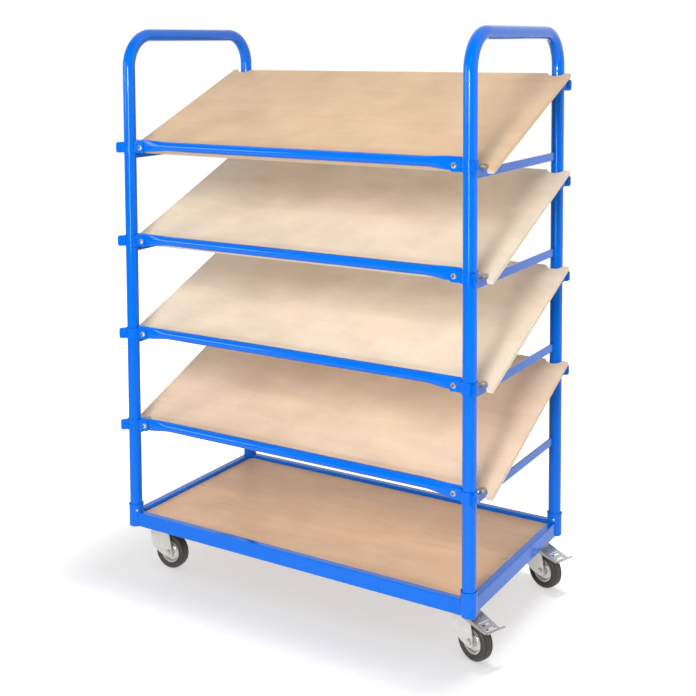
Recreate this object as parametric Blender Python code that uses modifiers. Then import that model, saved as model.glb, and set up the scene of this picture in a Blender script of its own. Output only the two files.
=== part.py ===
"""Sloped shelf cart: two tubular end frames in a wheeled base, four tilted plywood boards
held by strap clamps, front lip rails, rear carrying rails and four swivel castors, two braked.

X runs along the cart, Y from the front to the back, Z up, with the floor at zero. The origin is
under the middle of the whole cart, the pedals that stand out at the right included. Metres."""

import math

import bmesh
import bpy
from mathutils import Matrix

# Fits between pieces
FIT_GAP = 0.0003
RUN_GAP = 0.0006

# End frames: inverted U tubes standing in the base sleeves
UPRIGHT_PITCH_X = 1.060
UPRIGHT_PITCH_Y = 0.560
TUBE_DIA = 0.035
TUBE_WALL = 0.002
HANDLE_AXIS_HEIGHT = 1.545
HANDLE_BEND_RADIUS = 0.092

# Base frame: rectangular rails between four corner sleeves
BASE_UNDERSIDE = 0.131
BASE_RAIL_HEIGHT = 0.040
BASE_RAIL_WIDTH = 0.020
SLEEVE_WALL = 0.0025
SLEEVE_HEIGHT = 0.064
SLEEVE_FLOOR = 0.004
CORNER_PLATE_SIDE = 0.110
CORNER_PLATE_THICKNESS = 0.004
DECK_BEARER_WIDTH = 0.030
DECK_BEARER_PITCH = 0.360

# Plywood
DECK_THICKNESS = 0.012
DECK_RECESS = 0.010
DECK_SIDE_CLEARANCE = 0.0015
DECK_CORNER_CLEARANCE = 0.004
DECK_HOLE_DIA = 0.012
DECK_HOLE_INSET = 0.045
BOARD_WIDTH = 1.140
BOARD_DEPTH = 0.550
BOARD_THICKNESS = 0.012
BOARD_REST_SETBACK = 0.0728
NOTCH_CLEARANCE = 0.0075
FRONT_NOTCH_WIDTH = 0.038
FRONT_NOTCH_DEPTH = 0.0283

# Shelf levels, measured at the centre of the lowest front clamp
LEVEL_COUNT = 4
FIRST_LEVEL = 0.4295
LEVEL_PITCH = 0.2665
REAR_RISE = 0.172

# Side crossbars, flat bar on edge welded between the uprights, each with a stop for the board
CROSSBAR_HEIGHT = 0.022
CROSSBAR_THICKNESS = 0.006
CROSSBAR_TOP_DROP = 0.0114
STOP_SETBACK = 0.062
STOP_OFFSET = 0.004
STOP_HEAD_DIA = 0.015
STOP_HEAD_HEIGHT = 0.0075

# Lip rails and carrying rails: tube with pressed flat ends
RAIL_DIA = 0.027
RAIL_FLAT_THICKNESS = 0.004
RAIL_FLAT_HEIGHT = 0.034
RAIL_FLAT_MARGIN = 0.003
RAIL_PRESS_LENGTH = 0.070
RAIL_LIFT = 0.005

# Strap clamps
STRAP_THICKNESS = 0.003
STRAP_HEIGHT = 0.030
EAR_REACH = 0.052
EAR_CORNER_CUT = 0.005
OUTER_EAR_REACH = 0.040
OUTER_EAR_TURN = 48.0
HOOK_AT = 0.031
HOOK_LENGTH = 0.006
HOOK_HEIGHT = 0.014
HOOK_STAND = 0.0025
CLAMP_BOLT_OFFSET = 0.040
CLAMP_BOLT_DIA = 0.008
BOLT_HEAD_DIA = 0.015
BOLT_HEAD_HEIGHT = 0.005
NUT_HEIGHT = 0.0065

# Castors
CASTOR_INSET_X = 0.042
CASTOR_INSET_FRONT = 0.060
CASTOR_INSET_REAR = 0.044
CASTOR_TRAIL = 0.040
CASTOR_HEADING_FRONT_LEFT = 1.5
CASTOR_HEADING_FRONT_RIGHT = -21.0
CASTOR_HEADING_REAR_LEFT = -12.0
CASTOR_HEADING_REAR_RIGHT = -19.0
CASTOR_PLATE_SIDE = 0.084
CASTOR_PLATE_THICKNESS = 0.004
RACE_DIA = 0.052
RACE_HEIGHT = 0.005
FORK_HEAD_DIA = 0.056
FORK_HEAD_HEIGHT = 0.012
KINGPIN_DIA = 0.012
KINGPIN_NUT_DIA = 0.022
KINGPIN_NUT_HEIGHT = 0.005
FORK_SHEET = 0.003
FORK_INNER_WIDTH = 0.038
FORK_FRONT_REACH = 0.022
FORK_APRON_DEPTH = 0.040
FORK_REAR_REACH = 0.046
FORK_LUG_RADIUS = 0.013
AXLE_DIA = 0.010
AXLE_HEAD_DIA = 0.017
AXLE_HEAD_HEIGHT = 0.004
WHEEL_DIA = 0.100
TYRE_WIDTH = 0.032
TYRE_DEPTH = 0.018
HUB_DIA = 0.026
HUB_LENGTH = 0.034
RIM_WIDTH = 0.026
RIM_WEB = 0.020
RIM_LIP = 0.003

# Brake pedals
PEDAL_SHEET = 0.002
PEDAL_LENGTH = 0.066
PEDAL_SLOPE = 15.0
PEDAL_RISE = 0.0008
PEDAL_TIP_STICK_OUT = 0.017
PEDAL_TIP_LENGTH = 0.006
PEDAL_TIP_DEPTH = 0.005
PEDAL_TIP_DROOP = 4.0
PEDAL_PIVOT_BACK = 0.034
PEDAL_PIVOT_DROP = 0.0046
PEDAL_PIN_DIA = 0.004
PEDAL_LUG_RADIUS = 0.003
PEDAL_LUG_FRONT = 0.0085
PEDAL_SLOT_LENGTH = 0.026
PEDAL_SLOT_WIDTH = 0.005
SHOE_LENGTH = 0.007
SHOE_BACK = 0.018
SHOE_CLEARANCE = 0.0042

# Roundness
BEND_STEPS = 4
TUBE_SEGMENTS = 12
RAIL_SEGMENTS = 12
SLEEVE_SEGMENTS = 16
FRONT_STRAP_STEPS = 3
REAR_STRAP_STEPS = 5
WHEEL_SEGMENTS = 18

# Derived places
HALF_X = UPRIGHT_PITCH_X / 2
HALF_Y = UPRIGHT_PITCH_Y / 2
TUBE_R = TUBE_DIA / 2
SLEEVE_BORE_R = TUBE_R + FIT_GAP
SLEEVE_R = SLEEVE_BORE_R + SLEEVE_WALL
RAIL_R = RAIL_DIA / 2
BASE_TOP = BASE_UNDERSIDE + BASE_RAIL_HEIGHT
DECK_TOP = BASE_TOP - DECK_RECESS
DECK_UNDERSIDE = DECK_TOP - DECK_THICKNESS
WHEEL_R = WHEEL_DIA / 2
TREAD_R = WHEEL_R / math.cos(math.pi / WHEEL_SEGMENTS)
STRAP_INNER_R = TUBE_R + FIT_GAP
STRAP_OUTER_R = STRAP_INNER_R + STRAP_THICKNESS
RAIL_AXIS_Y = HALF_Y + RAIL_FLAT_THICKNESS / 2 - RAIL_R
EAR_HALF_GAP_IN = RAIL_FLAT_THICKNESS / 2 + FIT_GAP
EAR_HALF_GAP_OUT = FIT_GAP
FORK_TOP = BASE_UNDERSIDE - FIT_GAP - CASTOR_PLATE_THICKNESS - RACE_HEIGHT - RUN_GAP
FORK_WEB_TOP = FORK_TOP - FORK_HEAD_HEIGHT
PEDAL_PIVOT_HEIGHT = FORK_WEB_TOP - PEDAL_PIVOT_DROP

PARTS = "sloped_shelf_cart"
CORNERS = {
    "front_left": (-1, -1, CASTOR_HEADING_FRONT_LEFT, False),
    "front_right": (1, -1, CASTOR_HEADING_FRONT_RIGHT, True),
    "rear_left": (-1, 1, CASTOR_HEADING_REAR_LEFT, False),
    "rear_right": (1, 1, CASTOR_HEADING_REAR_RIGHT, True),
}

for old in list(bpy.data.objects):
    bpy.data.objects.remove(old, do_unlink=True)
parts = bpy.data.collections.new(PARTS)
bpy.context.scene.collection.children.link(parts)


def material(name, colour, roughness, metallic):
    made = bpy.data.materials.new(name)
    made.use_nodes = True
    shader = made.node_tree.nodes["Principled BSDF"]
    shader.inputs["Base Color"].default_value = (*colour, 1.0)
    shader.inputs["Roughness"].default_value = roughness
    shader.inputs["Metallic"].default_value = metallic
    return made


BLUE = (0.004, 0.156, 0.830)
BIRCH = (0.740, 0.560, 0.400)
ZINC = (0.560, 0.555, 0.530)
RUBBER = (0.028, 0.023, 0.020)


def add_part(name, mesh, colour, roughness, metallic, parent=None, matrix=None):
    """One named object with its own material, placed in the world or under an empty."""
    obj = bpy.data.objects.new(name, mesh)
    parts.objects.link(obj)
    if not mesh.materials:
        mesh.materials.append(None)
    obj.material_slots[0].link = "OBJECT"
    obj.material_slots[0].material = material(name, colour, roughness, metallic)
    obj.parent = parent
    if matrix is not None:
        obj.matrix_local = matrix
    mesh.shade_smooth()
    mesh.set_sharp_from_angle(angle=math.radians(35))
    return obj


def baked(obj):
    """The mesh that an object evaluates to, welded and facing out; the object is removed."""
    bpy.context.view_layer.update()
    graph = bpy.context.evaluated_depsgraph_get()
    mesh = bpy.data.meshes.new_from_object(obj.evaluated_get(graph))
    bm = bmesh.new()
    bm.from_mesh(mesh)
    bm.transform(obj.matrix_world)
    bmesh.ops.remove_doubles(bm, verts=bm.verts, dist=0.000001)
    bmesh.ops.recalc_face_normals(bm, faces=bm.faces)
    bm.to_mesh(mesh)
    bm.free()
    bpy.data.objects.remove(obj, do_unlink=True)
    return mesh


def helper(mesh):
    obj = bpy.data.objects.new("helper", mesh)
    bpy.context.scene.collection.objects.link(obj)
    return obj


def combined(mesh, others, operation):
    """A mesh joined with, or cut by, others."""
    target = helper(mesh)
    tools = [helper(other) for other in others]
    for tool in tools:
        modifier = target.modifiers.new("combine", "BOOLEAN")
        modifier.operation = operation
        modifier.solver = "EXACT"
        modifier.object = tool
    result = baked(target)
    for tool in tools:
        bpy.data.objects.remove(tool, do_unlink=True)
    return result


def box(x0, x1, y0, y1, z0, z1):
    bm = bmesh.new()
    size = Matrix.Diagonal((x1 - x0, y1 - y0, z1 - z0, 1))
    centre = Matrix.Translation(((x0 + x1) / 2, (y0 + y1) / 2, (z0 + z1) / 2))
    bmesh.ops.create_cube(bm, size=1.0, matrix=centre @ size)
    mesh = bpy.data.meshes.new("box")
    bm.to_mesh(mesh)
    bm.free()
    return mesh


def cylinder(radius, z0, z1, segments, turn=None, top_radius=None):
    """An upright cylinder from z0 to z1, moved by the turn matrix."""
    bm = bmesh.new()
    place = Matrix.Translation((0, 0, (z0 + z1) / 2))
    bmesh.ops.create_cone(
        bm,
        cap_ends=True,
        segments=segments,
        radius1=radius,
        radius2=radius if top_radius is None else top_radius,
        depth=z1 - z0,
        matrix=(turn or Matrix()) @ place,
    )
    mesh = bpy.data.meshes.new("cylinder")
    bm.to_mesh(mesh)
    bm.free()
    return mesh


def across(x, z):
    """Turns an upright cylinder to lie along Y, on the axis through x and z."""
    return Matrix.Translation((x, 0, z)) @ Matrix.Rotation(math.radians(90), 4, "X")


def rod(points, radius, segments):
    """A round bar along a path of points."""
    curve = bpy.data.curves.new("rod", "CURVE")
    curve.dimensions = "3D"
    curve.bevel_depth = radius
    curve.bevel_resolution = (segments - 4) // 2
    curve.use_fill_caps = True
    spline = curve.splines.new("POLY")
    spline.points.add(len(points) - 1)
    for point, place in zip(spline.points, points):
        point.co = (*place, 1)
    return baked(helper(curve))


def plate(outline, thickness):
    """A flat outline in X and Y, centred on Z, with a thickness."""
    curve = bpy.data.curves.new("plate", "CURVE")
    curve.dimensions = "2D"
    curve.fill_mode = "BOTH"
    curve.extrude = thickness / 2
    spline = curve.splines.new("POLY")
    spline.points.add(len(outline) - 1)
    for point, (x, y) in zip(spline.points, outline):
        point.co = (x, y, 0, 1)
    spline.use_cyclic_u = True
    return baked(helper(curve))


def turned(profile, segments):
    """A closed profile of (radius, height) points turned about Z."""
    bm = bmesh.new()
    verts = [bm.verts.new((radius, 0, height)) for radius, height in profile]
    for first, second in zip(verts, verts[1:] + verts[:1]):
        bm.edges.new((first, second))
    mesh = bpy.data.meshes.new("turned")
    bm.to_mesh(mesh)
    bm.free()
    obj = helper(mesh)
    modifier = obj.modifiers.new("turn", "SCREW")
    modifier.axis = "Z"
    modifier.steps = segments
    modifier.render_steps = segments
    modifier.use_merge_vertices = True
    modifier.merge_threshold = 0.00001
    return baked(obj)


def moved(mesh, matrix):
    copy = mesh.copy()
    copy.transform(matrix)
    if matrix.determinant() < 0:
        copy.flip_normals()
    return copy


def arc(cx, cy, radius, start, end, steps):
    """Points on a circle from one angle to another, in degrees."""
    points = []
    for step in range(steps + 1):
        angle = math.radians(start + (end - start) * step / steps)
        points.append((cx + radius * math.cos(angle), cy + radius * math.sin(angle)))
    return points


def end_frame(side):
    """Inverted U of hollow tube, front upright, handle bar and rear upright in one bend."""
    foot = BASE_UNDERSIDE + SLEEVE_FLOOR + FIT_GAP
    shoulder = HANDLE_AXIS_HEIGHT - HANDLE_BEND_RADIUS
    bend_y = HALF_Y - HANDLE_BEND_RADIUS

    def path(end):
        flat = [(-HALF_Y, end)]
        flat += arc(-bend_y, shoulder, HANDLE_BEND_RADIUS, 180, 90, BEND_STEPS)
        flat += arc(bend_y, shoulder, HANDLE_BEND_RADIUS, 90, 0, BEND_STEPS)
        flat += [(HALF_Y, end)]
        return [(side * HALF_X, y, z) for y, z in flat]

    outer = rod(path(foot), TUBE_R, TUBE_SEGMENTS)
    inner = rod(path(foot - TUBE_DIA), TUBE_R - TUBE_WALL, TUBE_SEGMENTS)
    return combined(outer, [inner], "DIFFERENCE")


def crossbar(side, level):
    """Flat bar on edge between one end frame's uprights, with a domed stop for the board."""
    half = CROSSBAR_THICKNESS / 2
    reach = HALF_Y - TUBE_R - FIT_GAP
    relief = HALF_Y - TUBE_R - 2 * STRAP_THICKNESS
    top = level - CROSSBAR_TOP_DROP
    bottom = top - CROSSBAR_HEIGHT
    under = level - STRAP_HEIGHT / 2 - FIT_GAP
    outline = [(-reach, bottom), (reach, bottom), (reach, top)]
    if under < top:
        outline += [(-relief, top), (-relief, under), (-reach, under)]
    else:
        outline += [(-reach, top)]
    bar = plate(outline, CROSSBAR_THICKNESS)
    bar.transform(Matrix(((0, 0, 1, side * HALF_X), (1, 0, 0, 0), (0, 1, 0, 0), (0, 0, 0, 1))))
    place = Matrix.Translation((side * (HALF_X + STOP_OFFSET), -HALF_Y + STOP_SETBACK, 0))
    head = STOP_HEAD_DIA / 2
    dome = cylinder(head, top - half / 2, top + STOP_HEAD_HEIGHT, 10, place, top_radius=0.6 * head)
    return combined(bar, [dome], "UNION")


def base_frame():
    """Welded base: four rails, four open-topped sleeves, corner plates and two bearers."""
    half_w = BASE_RAIL_WIDTH / 2
    rails = []
    for sign in (-1, 1):
        rails.append(
            box(-HALF_X, HALF_X, sign * HALF_Y - half_w, sign * HALF_Y + half_w, BASE_UNDERSIDE, BASE_TOP)
        )
        rails.append(
            box(sign * HALF_X - half_w, sign * HALF_X + half_w, -HALF_Y, HALF_Y, BASE_UNDERSIDE, BASE_TOP)
        )
        bearer_x = sign * DECK_BEARER_PITCH / 2
        rails.append(
            box(
                bearer_x - DECK_BEARER_WIDTH / 2,
                bearer_x + DECK_BEARER_WIDTH / 2,
                -HALF_Y,
                HALF_Y,
                BASE_UNDERSIDE + CORNER_PLATE_THICKNESS,
                DECK_UNDERSIDE - FIT_GAP,
            )
        )
    sleeves = []
    bores = []
    for sx, sy, _heading, _braked in CORNERS.values():
        place = Matrix.Translation((sx * HALF_X, sy * HALF_Y, 0))
        sleeves.append(
            cylinder(SLEEVE_R, BASE_UNDERSIDE, BASE_UNDERSIDE + SLEEVE_HEIGHT, SLEEVE_SEGMENTS, place)
        )
        bores.append(
            cylinder(
                SLEEVE_BORE_R / math.cos(math.pi / TUBE_SEGMENTS),
                BASE_UNDERSIDE + SLEEVE_FLOOR,
                BASE_UNDERSIDE + 2 * SLEEVE_HEIGHT,
                TUBE_SEGMENTS,
                place,
            )
        )
        xs = sorted((sx * HALF_X, sx * (HALF_X - CORNER_PLATE_SIDE)))
        ys = sorted((sy * HALF_Y, sy * (HALF_Y - CORNER_PLATE_SIDE)))
        sleeves.append(box(*xs, *ys, BASE_UNDERSIDE, BASE_UNDERSIDE + CORNER_PLATE_THICKNESS))
    frame = combined(rails[0], rails[1:] + sleeves, "UNION")
    return combined(frame, bores, "DIFFERENCE")


def base_board():
    """Plywood deck let in between the rails, cut away round the sleeves."""
    half_x = HALF_X - BASE_RAIL_WIDTH / 2 - DECK_SIDE_CLEARANCE
    half_y = HALF_Y - BASE_RAIL_WIDTH / 2 - DECK_SIDE_CLEARANCE
    cutters = []
    for sx, sy, _heading, _braked in CORNERS.values():
        place = Matrix.Translation((sx * HALF_X, sy * HALF_Y, 0))
        cutters.append(
            cylinder(
                SLEEVE_R + DECK_CORNER_CLEARANCE,
                DECK_UNDERSIDE - DECK_THICKNESS,
                DECK_TOP + DECK_THICKNESS,
                SLEEVE_SEGMENTS,
                place,
            )
        )
    for sign in (-1, 1):
        place = Matrix.Translation((sign * (half_x - DECK_HOLE_INSET), 0, 0))
        cutters.append(
            cylinder(DECK_HOLE_DIA / 2, DECK_UNDERSIDE - DECK_THICKNESS, DECK_TOP + DECK_THICKNESS, 12, place)
        )
    deck = box(-half_x, half_x, -half_y, half_y, DECK_UNDERSIDE, DECK_TOP)
    return combined(deck, cutters, "DIFFERENCE")


def board_line():
    """Front bottom edge (y, height over the level) and tilt of a board on its two supports.

    The front support is the crossbar's top under the back of the front notch, the rear one
    is the carrying rail."""
    radius = FRONT_NOTCH_WIDTH / 2
    aside = STOP_OFFSET + CROSSBAR_THICKNESS / 2
    rest = FRONT_NOTCH_DEPTH - radius + math.sqrt(radius * radius - aside * aside)
    rest_y = -HALF_Y + BOARD_REST_SETBACK
    rest_z = -CROSSBAR_TOP_DROP + FIT_GAP
    run = RAIL_AXIS_Y - rest_y
    rise = REAR_RISE + RAIL_LIFT - rest_z
    reach = math.hypot(run, rise)
    tilt = math.atan2(rise, run) + math.asin((RAIL_R + FIT_GAP) / reach)
    return rest_y - rest * math.cos(tilt), rest_z - rest * math.sin(tilt), tilt


def shelf_board(level):
    """Plywood board with round-ended notches: rear for the uprights, front for the stops."""
    front_y, front_z, tilt = board_line()
    half = BOARD_WIDTH / 2
    notch = TUBE_R / math.cos(tilt) + NOTCH_CLEARANCE
    middle = Matrix.Translation((0, front_y, level + front_z)) @ Matrix.Rotation(tilt, 4, "X")
    axis_v = (HALF_Y - front_y + BOARD_THICKNESS / 2 * math.sin(tilt)) / math.cos(tilt)
    past = axis_v + BOARD_DEPTH
    slots = []
    for sign in (-1, 1):
        slot = [(sign * HALF_X + notch, past)]
        slot += arc(sign * HALF_X, axis_v, notch, 0, -180, 10)
        slot += [(sign * HALF_X - notch, past)]
        cutter = plate(slot, 3 * BOARD_THICKNESS)
        cutter.transform(Matrix.Translation((0, 0, BOARD_THICKNESS / 2)))
        slots.append(cutter)
        radius = FRONT_NOTCH_WIDTH / 2
        at_x = sign * (HALF_X + STOP_OFFSET)
        slot = [(at_x - radius, -BOARD_DEPTH)]
        slot += arc(at_x, FRONT_NOTCH_DEPTH - radius, radius, 180, 0, 8)
        slot += [(at_x + radius, -BOARD_DEPTH)]
        cutter = plate(slot, 3 * BOARD_THICKNESS)
        cutter.transform(Matrix.Translation((0, 0, BOARD_THICKNESS / 2)))
        slots.append(cutter)
    flat = box(-half, half, 0, BOARD_DEPTH, 0, BOARD_THICKNESS)
    flat = combined(flat, slots, "DIFFERENCE")
    flat.transform(middle)
    return flat


def flat_ended_rail(facing):
    """Round tube whose ends are pressed flat and drilled; facing is the side of the flats."""
    end_x = HALF_X - STRAP_OUTER_R - FIT_GAP
    flat_x = HALF_X - EAR_REACH - RAIL_FLAT_MARGIN
    stations = [(end_x, 1.0), (flat_x, 1.0)]
    for step in (1, 2):
        share = step / 3
        stations.append((flat_x - RAIL_PRESS_LENGTH * share, 0.5 + 0.5 * math.cos(math.pi * share)))
    stations.append((flat_x - RAIL_PRESS_LENGTH, 0.0))
    stations += [(-x, press) for x, press in reversed(stations)]
    bm = bmesh.new()
    rings = []
    for x, press in stations:
        ring = []
        for step in range(RAIL_SEGMENTS):
            angle = 2 * math.pi * (step + 0.5) / RAIL_SEGMENTS
            round_y = RAIL_R * math.cos(angle) - facing * RAIL_R
            flat_y = RAIL_FLAT_THICKNESS / 2 * (max(-1, min(1, 3 * math.cos(angle))) - facing)
            y = round_y + (flat_y - round_y) * press
            z = (RAIL_R + (RAIL_FLAT_HEIGHT / 2 - RAIL_R) * press) * math.sin(angle)
            ring.append(bm.verts.new((x, y, z)))
        rings.append(ring)
    for first, second in zip(rings, rings[1:]):
        for step in range(RAIL_SEGMENTS):
            after = (step + 1) % RAIL_SEGMENTS
            bm.faces.new((first[step], first[after], second[after], second[step]))
    bm.faces.new(rings[0])
    bm.faces.new(rings[-1])
    bmesh.ops.recalc_face_normals(bm, faces=bm.faces)
    mesh = bpy.data.meshes.new("rail")
    bm.to_mesh(mesh)
    bm.free()
    holes = []
    for sign in (-1, 1):
        turn = across(sign * (HALF_X - CLAMP_BOLT_OFFSET), -RAIL_LIFT)
        holes.append(cylinder(CLAMP_BOLT_DIA / 2 + RUN_GAP, -RAIL_DIA, RAIL_DIA, 8, turn))
    return combined(mesh, holes, "DIFFERENCE")


def strap(sign):
    """One strap of a clamp from above: inboard ear, band round the tube, turned outer ear.

    The sign is -1 for the short strap at the front and 1 for the long one behind."""
    turn = math.radians(OUTER_EAR_TURN)
    steps = FRONT_STRAP_STEPS if sign < 0 else REAR_STRAP_STEPS
    facet = math.cos(math.radians(180 + sign * OUTER_EAR_TURN) / steps / 2)
    inner = STRAP_INNER_R / facet
    outer = STRAP_OUTER_R / facet
    gap_in = EAR_HALF_GAP_IN
    gap_out = EAR_HALF_GAP_OUT

    def start(offset, radius):
        return sign * (180 - math.degrees(math.asin(offset / radius)))

    def end(offset, radius):
        return -OUTER_EAR_TURN + sign * math.degrees(math.asin(offset / radius))

    def tip(offset):
        return (
            OUTER_EAR_REACH * math.cos(turn) + sign * offset * math.sin(turn),
            -OUTER_EAR_REACH * math.sin(turn) + sign * offset * math.cos(turn),
        )

    thick = STRAP_THICKNESS
    outline = [(-EAR_REACH, sign * gap_in)]
    outline += arc(0, 0, inner, start(gap_in, inner), end(gap_out, inner), steps)
    outline += [tip(gap_out), tip(gap_out + thick)]
    outline += arc(0, 0, outer, end(gap_out + thick, outer), start(gap_in + thick, outer), steps)
    outline += [(-EAR_REACH, sign * (gap_in + thick))]
    mesh = plate(outline, STRAP_HEIGHT)
    bm = bmesh.new()
    bm.from_mesh(mesh)
    tips = []
    for edge in bm.edges:
        first, second = edge.verts
        level = abs(first.co.z - second.co.z) < 0.00001
        inboard = all(abs(vert.co.x + EAR_REACH) < 0.00001 for vert in edge.verts)
        outboard = all(
            abs(vert.co.x * math.cos(turn) - vert.co.y * math.sin(turn) - OUTER_EAR_REACH) < 0.00001
            for vert in edge.verts
        )
        if level and (inboard or outboard):
            tips.append(edge)
    bmesh.ops.bevel(
        bm, geom=tips, offset=EAR_CORNER_CUT, segments=1, profile=0.5, affect="EDGES"
    )
    bm.to_mesh(mesh)
    bm.free()
    return mesh


def strap_clamp():
    """Two straps hooked into each other at the turned ears and drawn together by one bolt."""
    face_in = EAR_HALF_GAP_IN + STRAP_THICKNESS
    face_out = EAR_HALF_GAP_OUT + STRAP_THICKNESS
    bury = STRAP_THICKNESS / 2
    shank = CLAMP_BOLT_DIA / 2
    head = BOLT_HEAD_DIA / 2
    inboard = across(-CLAMP_BOLT_OFFSET, 0)
    hook = box(
        HOOK_AT - HOOK_LENGTH / 2,
        HOOK_AT + HOOK_LENGTH / 2,
        bury - face_out,
        face_out + HOOK_STAND,
        -HOOK_HEIGHT / 2,
        HOOK_HEIGHT / 2,
    )
    hook.transform(Matrix.Rotation(math.radians(-OUTER_EAR_TURN), 4, "Z"))
    joined = [
        strap(1),
        hook,
        cylinder(shank, -face_in, face_in, 6, inboard),
        cylinder(head, face_in - bury, face_in + BOLT_HEAD_HEIGHT, 8, inboard, top_radius=head * 0.7),
        cylinder(head, -face_in - NUT_HEIGHT, -face_in + bury, 6, inboard),
    ]
    return combined(strap(-1), joined, "UNION")


def castor_plate():
    """Top plate, upper ball race and kingpin, which stay with the base."""
    top = BASE_UNDERSIDE - FIT_GAP
    under = top - CASTOR_PLATE_THICKNESS
    half = CASTOR_PLATE_SIDE / 2
    seat = FORK_WEB_TOP - FORK_SHEET - RUN_GAP
    race = cylinder(RACE_DIA / 2, under - RACE_HEIGHT, under + CASTOR_PLATE_THICKNESS / 2, 16)
    pin = cylinder(KINGPIN_DIA / 2, seat - KINGPIN_NUT_HEIGHT / 2, under, 8)
    nut = cylinder(KINGPIN_NUT_DIA / 2, seat - KINGPIN_NUT_HEIGHT, seat, 6)
    return combined(box(-half, half, -half, half, under, top), [race, pin, nut], "UNION")


def cheek():
    """One side of the fork, broad over the front of the wheel and narrowing to the axle lug."""
    lug = FORK_LUG_RADIUS
    fall = FORK_WEB_TOP - WHEEL_R
    outline = [(-FORK_FRONT_REACH, FORK_WEB_TOP), (-FORK_FRONT_REACH, FORK_WEB_TOP - 0.5 * fall)]
    outline += [(-0.6 * FORK_FRONT_REACH, WHEEL_R + 0.14 * fall), (0.28 * CASTOR_TRAIL, WHEEL_R - 0.12 * fall)]
    outline += arc(CASTOR_TRAIL, WHEEL_R, lug, 240, 375, 5)
    outline += [(CASTOR_TRAIL + 0.8 * lug, WHEEL_R + 2 * lug)]
    outline += [(FORK_REAR_REACH, FORK_WEB_TOP - lug), (FORK_REAR_REACH - 0.4 * lug, FORK_WEB_TOP)]
    sheet = plate(outline, FORK_SHEET)
    sheet.transform(Matrix.Rotation(math.radians(90), 4, "X"))
    return sheet


def castor_fork(braked):
    """Pressed fork: race head, web, round apron in front, two cheeks, and the axle bolt."""
    centre = (FORK_INNER_WIDTH + FORK_SHEET) / 2
    outer = FORK_INNER_WIDTH / 2 + FORK_SHEET
    cheeks = [moved(cheek(), Matrix.Translation((0, sign * centre, 0))) for sign in (-1, 1)]
    web = box(
        -FORK_FRONT_REACH,
        PEDAL_PIVOT_BACK - PEDAL_PIN_DIA / 2 - 2 * RUN_GAP,
        -centre,
        centre,
        FORK_WEB_TOP - FORK_SHEET,
        FORK_WEB_TOP - FIT_GAP,
    )
    head = cylinder(
        FORK_HEAD_DIA / 2,
        FORK_WEB_TOP - FORK_SHEET / 2,
        FORK_TOP,
        16,
        top_radius=FORK_HEAD_DIA / 2 * 0.86,
    )
    apron = cylinder(FORK_HEAD_DIA / 2, FORK_WEB_TOP - FORK_APRON_DEPTH, FORK_WEB_TOP - FORK_SHEET / 2, 16)
    hollow = cylinder(FORK_HEAD_DIA / 2 - FORK_SHEET, 0, FORK_TOP, 16)
    behind = box(-FORK_FRONT_REACH * 0.6, FORK_HEAD_DIA, -FORK_HEAD_DIA, FORK_HEAD_DIA, 0, FORK_TOP)
    beside = [
        box(-FORK_HEAD_DIA, FORK_HEAD_DIA, *sorted((sign * centre, sign * FORK_HEAD_DIA)), 0, FORK_TOP) for sign in (-1, 1)
    ]
    apron = combined(apron, [hollow, behind] + beside, "DIFFERENCE")
    axle = across(CASTOR_TRAIL, WHEEL_R)
    joined = [
        web,
        apron,
        head,
        cylinder(AXLE_DIA / 2, -outer, outer, 10, axle),
        cylinder(AXLE_HEAD_DIA / 2, outer - FORK_SHEET / 2, outer + AXLE_HEAD_HEIGHT, 6, axle),
        cylinder(AXLE_HEAD_DIA / 2, -outer - AXLE_HEAD_HEIGHT, -outer + FORK_SHEET / 2, 6, axle),
    ]
    fork = combined(cheeks[0], [cheeks[1]] + joined, "UNION")
    cuts = [cylinder(KINGPIN_DIA / 2 + RUN_GAP, FORK_WEB_TOP - FORK_HEAD_HEIGHT, BASE_TOP, 10)]
    if braked:
        pivot = across(PEDAL_PIVOT_BACK, PEDAL_PIVOT_HEIGHT)
        cuts.append(cylinder(PEDAL_PIN_DIA / 2 + RUN_GAP, -2 * outer, 2 * outer, 8, pivot))
    return combined(fork, cuts, "DIFFERENCE")


def wheel_rim():
    """Hub, dished web and rim turned about the axle."""
    bore = AXLE_DIA / 2 + RUN_GAP
    hub = HUB_DIA / 2
    seat = WHEEL_R - TYRE_DEPTH - FIT_GAP
    half_hub = HUB_LENGTH / 2
    half_rim = RIM_WIDTH / 2
    half_web = RIM_WEB / 2
    upper = [
        (bore, half_hub),
        (hub, half_hub),
        (hub + RIM_LIP, half_web),
        (seat - RIM_LIP, half_web),
        (seat, half_rim),
    ]
    profile = upper + [(radius, -height) for radius, height in reversed(upper)]
    return turned(profile, WHEEL_SEGMENTS)


def wheel_tyre():
    """Rubber tyre with a round tread, whose facets touch the wheel's true circle."""
    seat = WHEEL_R - TYRE_DEPTH
    half = TYRE_WIDTH / 2
    upper = [
        (seat, RIM_WIDTH / 2),
        (seat + 0.4 * TYRE_DEPTH, half),
        (seat + 0.85 * TYRE_DEPTH, 0.88 * half),
        (TREAD_R, 0.45 * half),
    ]
    profile = upper + [(radius, -height) for radius, height in reversed(upper)]
    return turned(profile, WHEEL_SEGMENTS)


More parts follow.
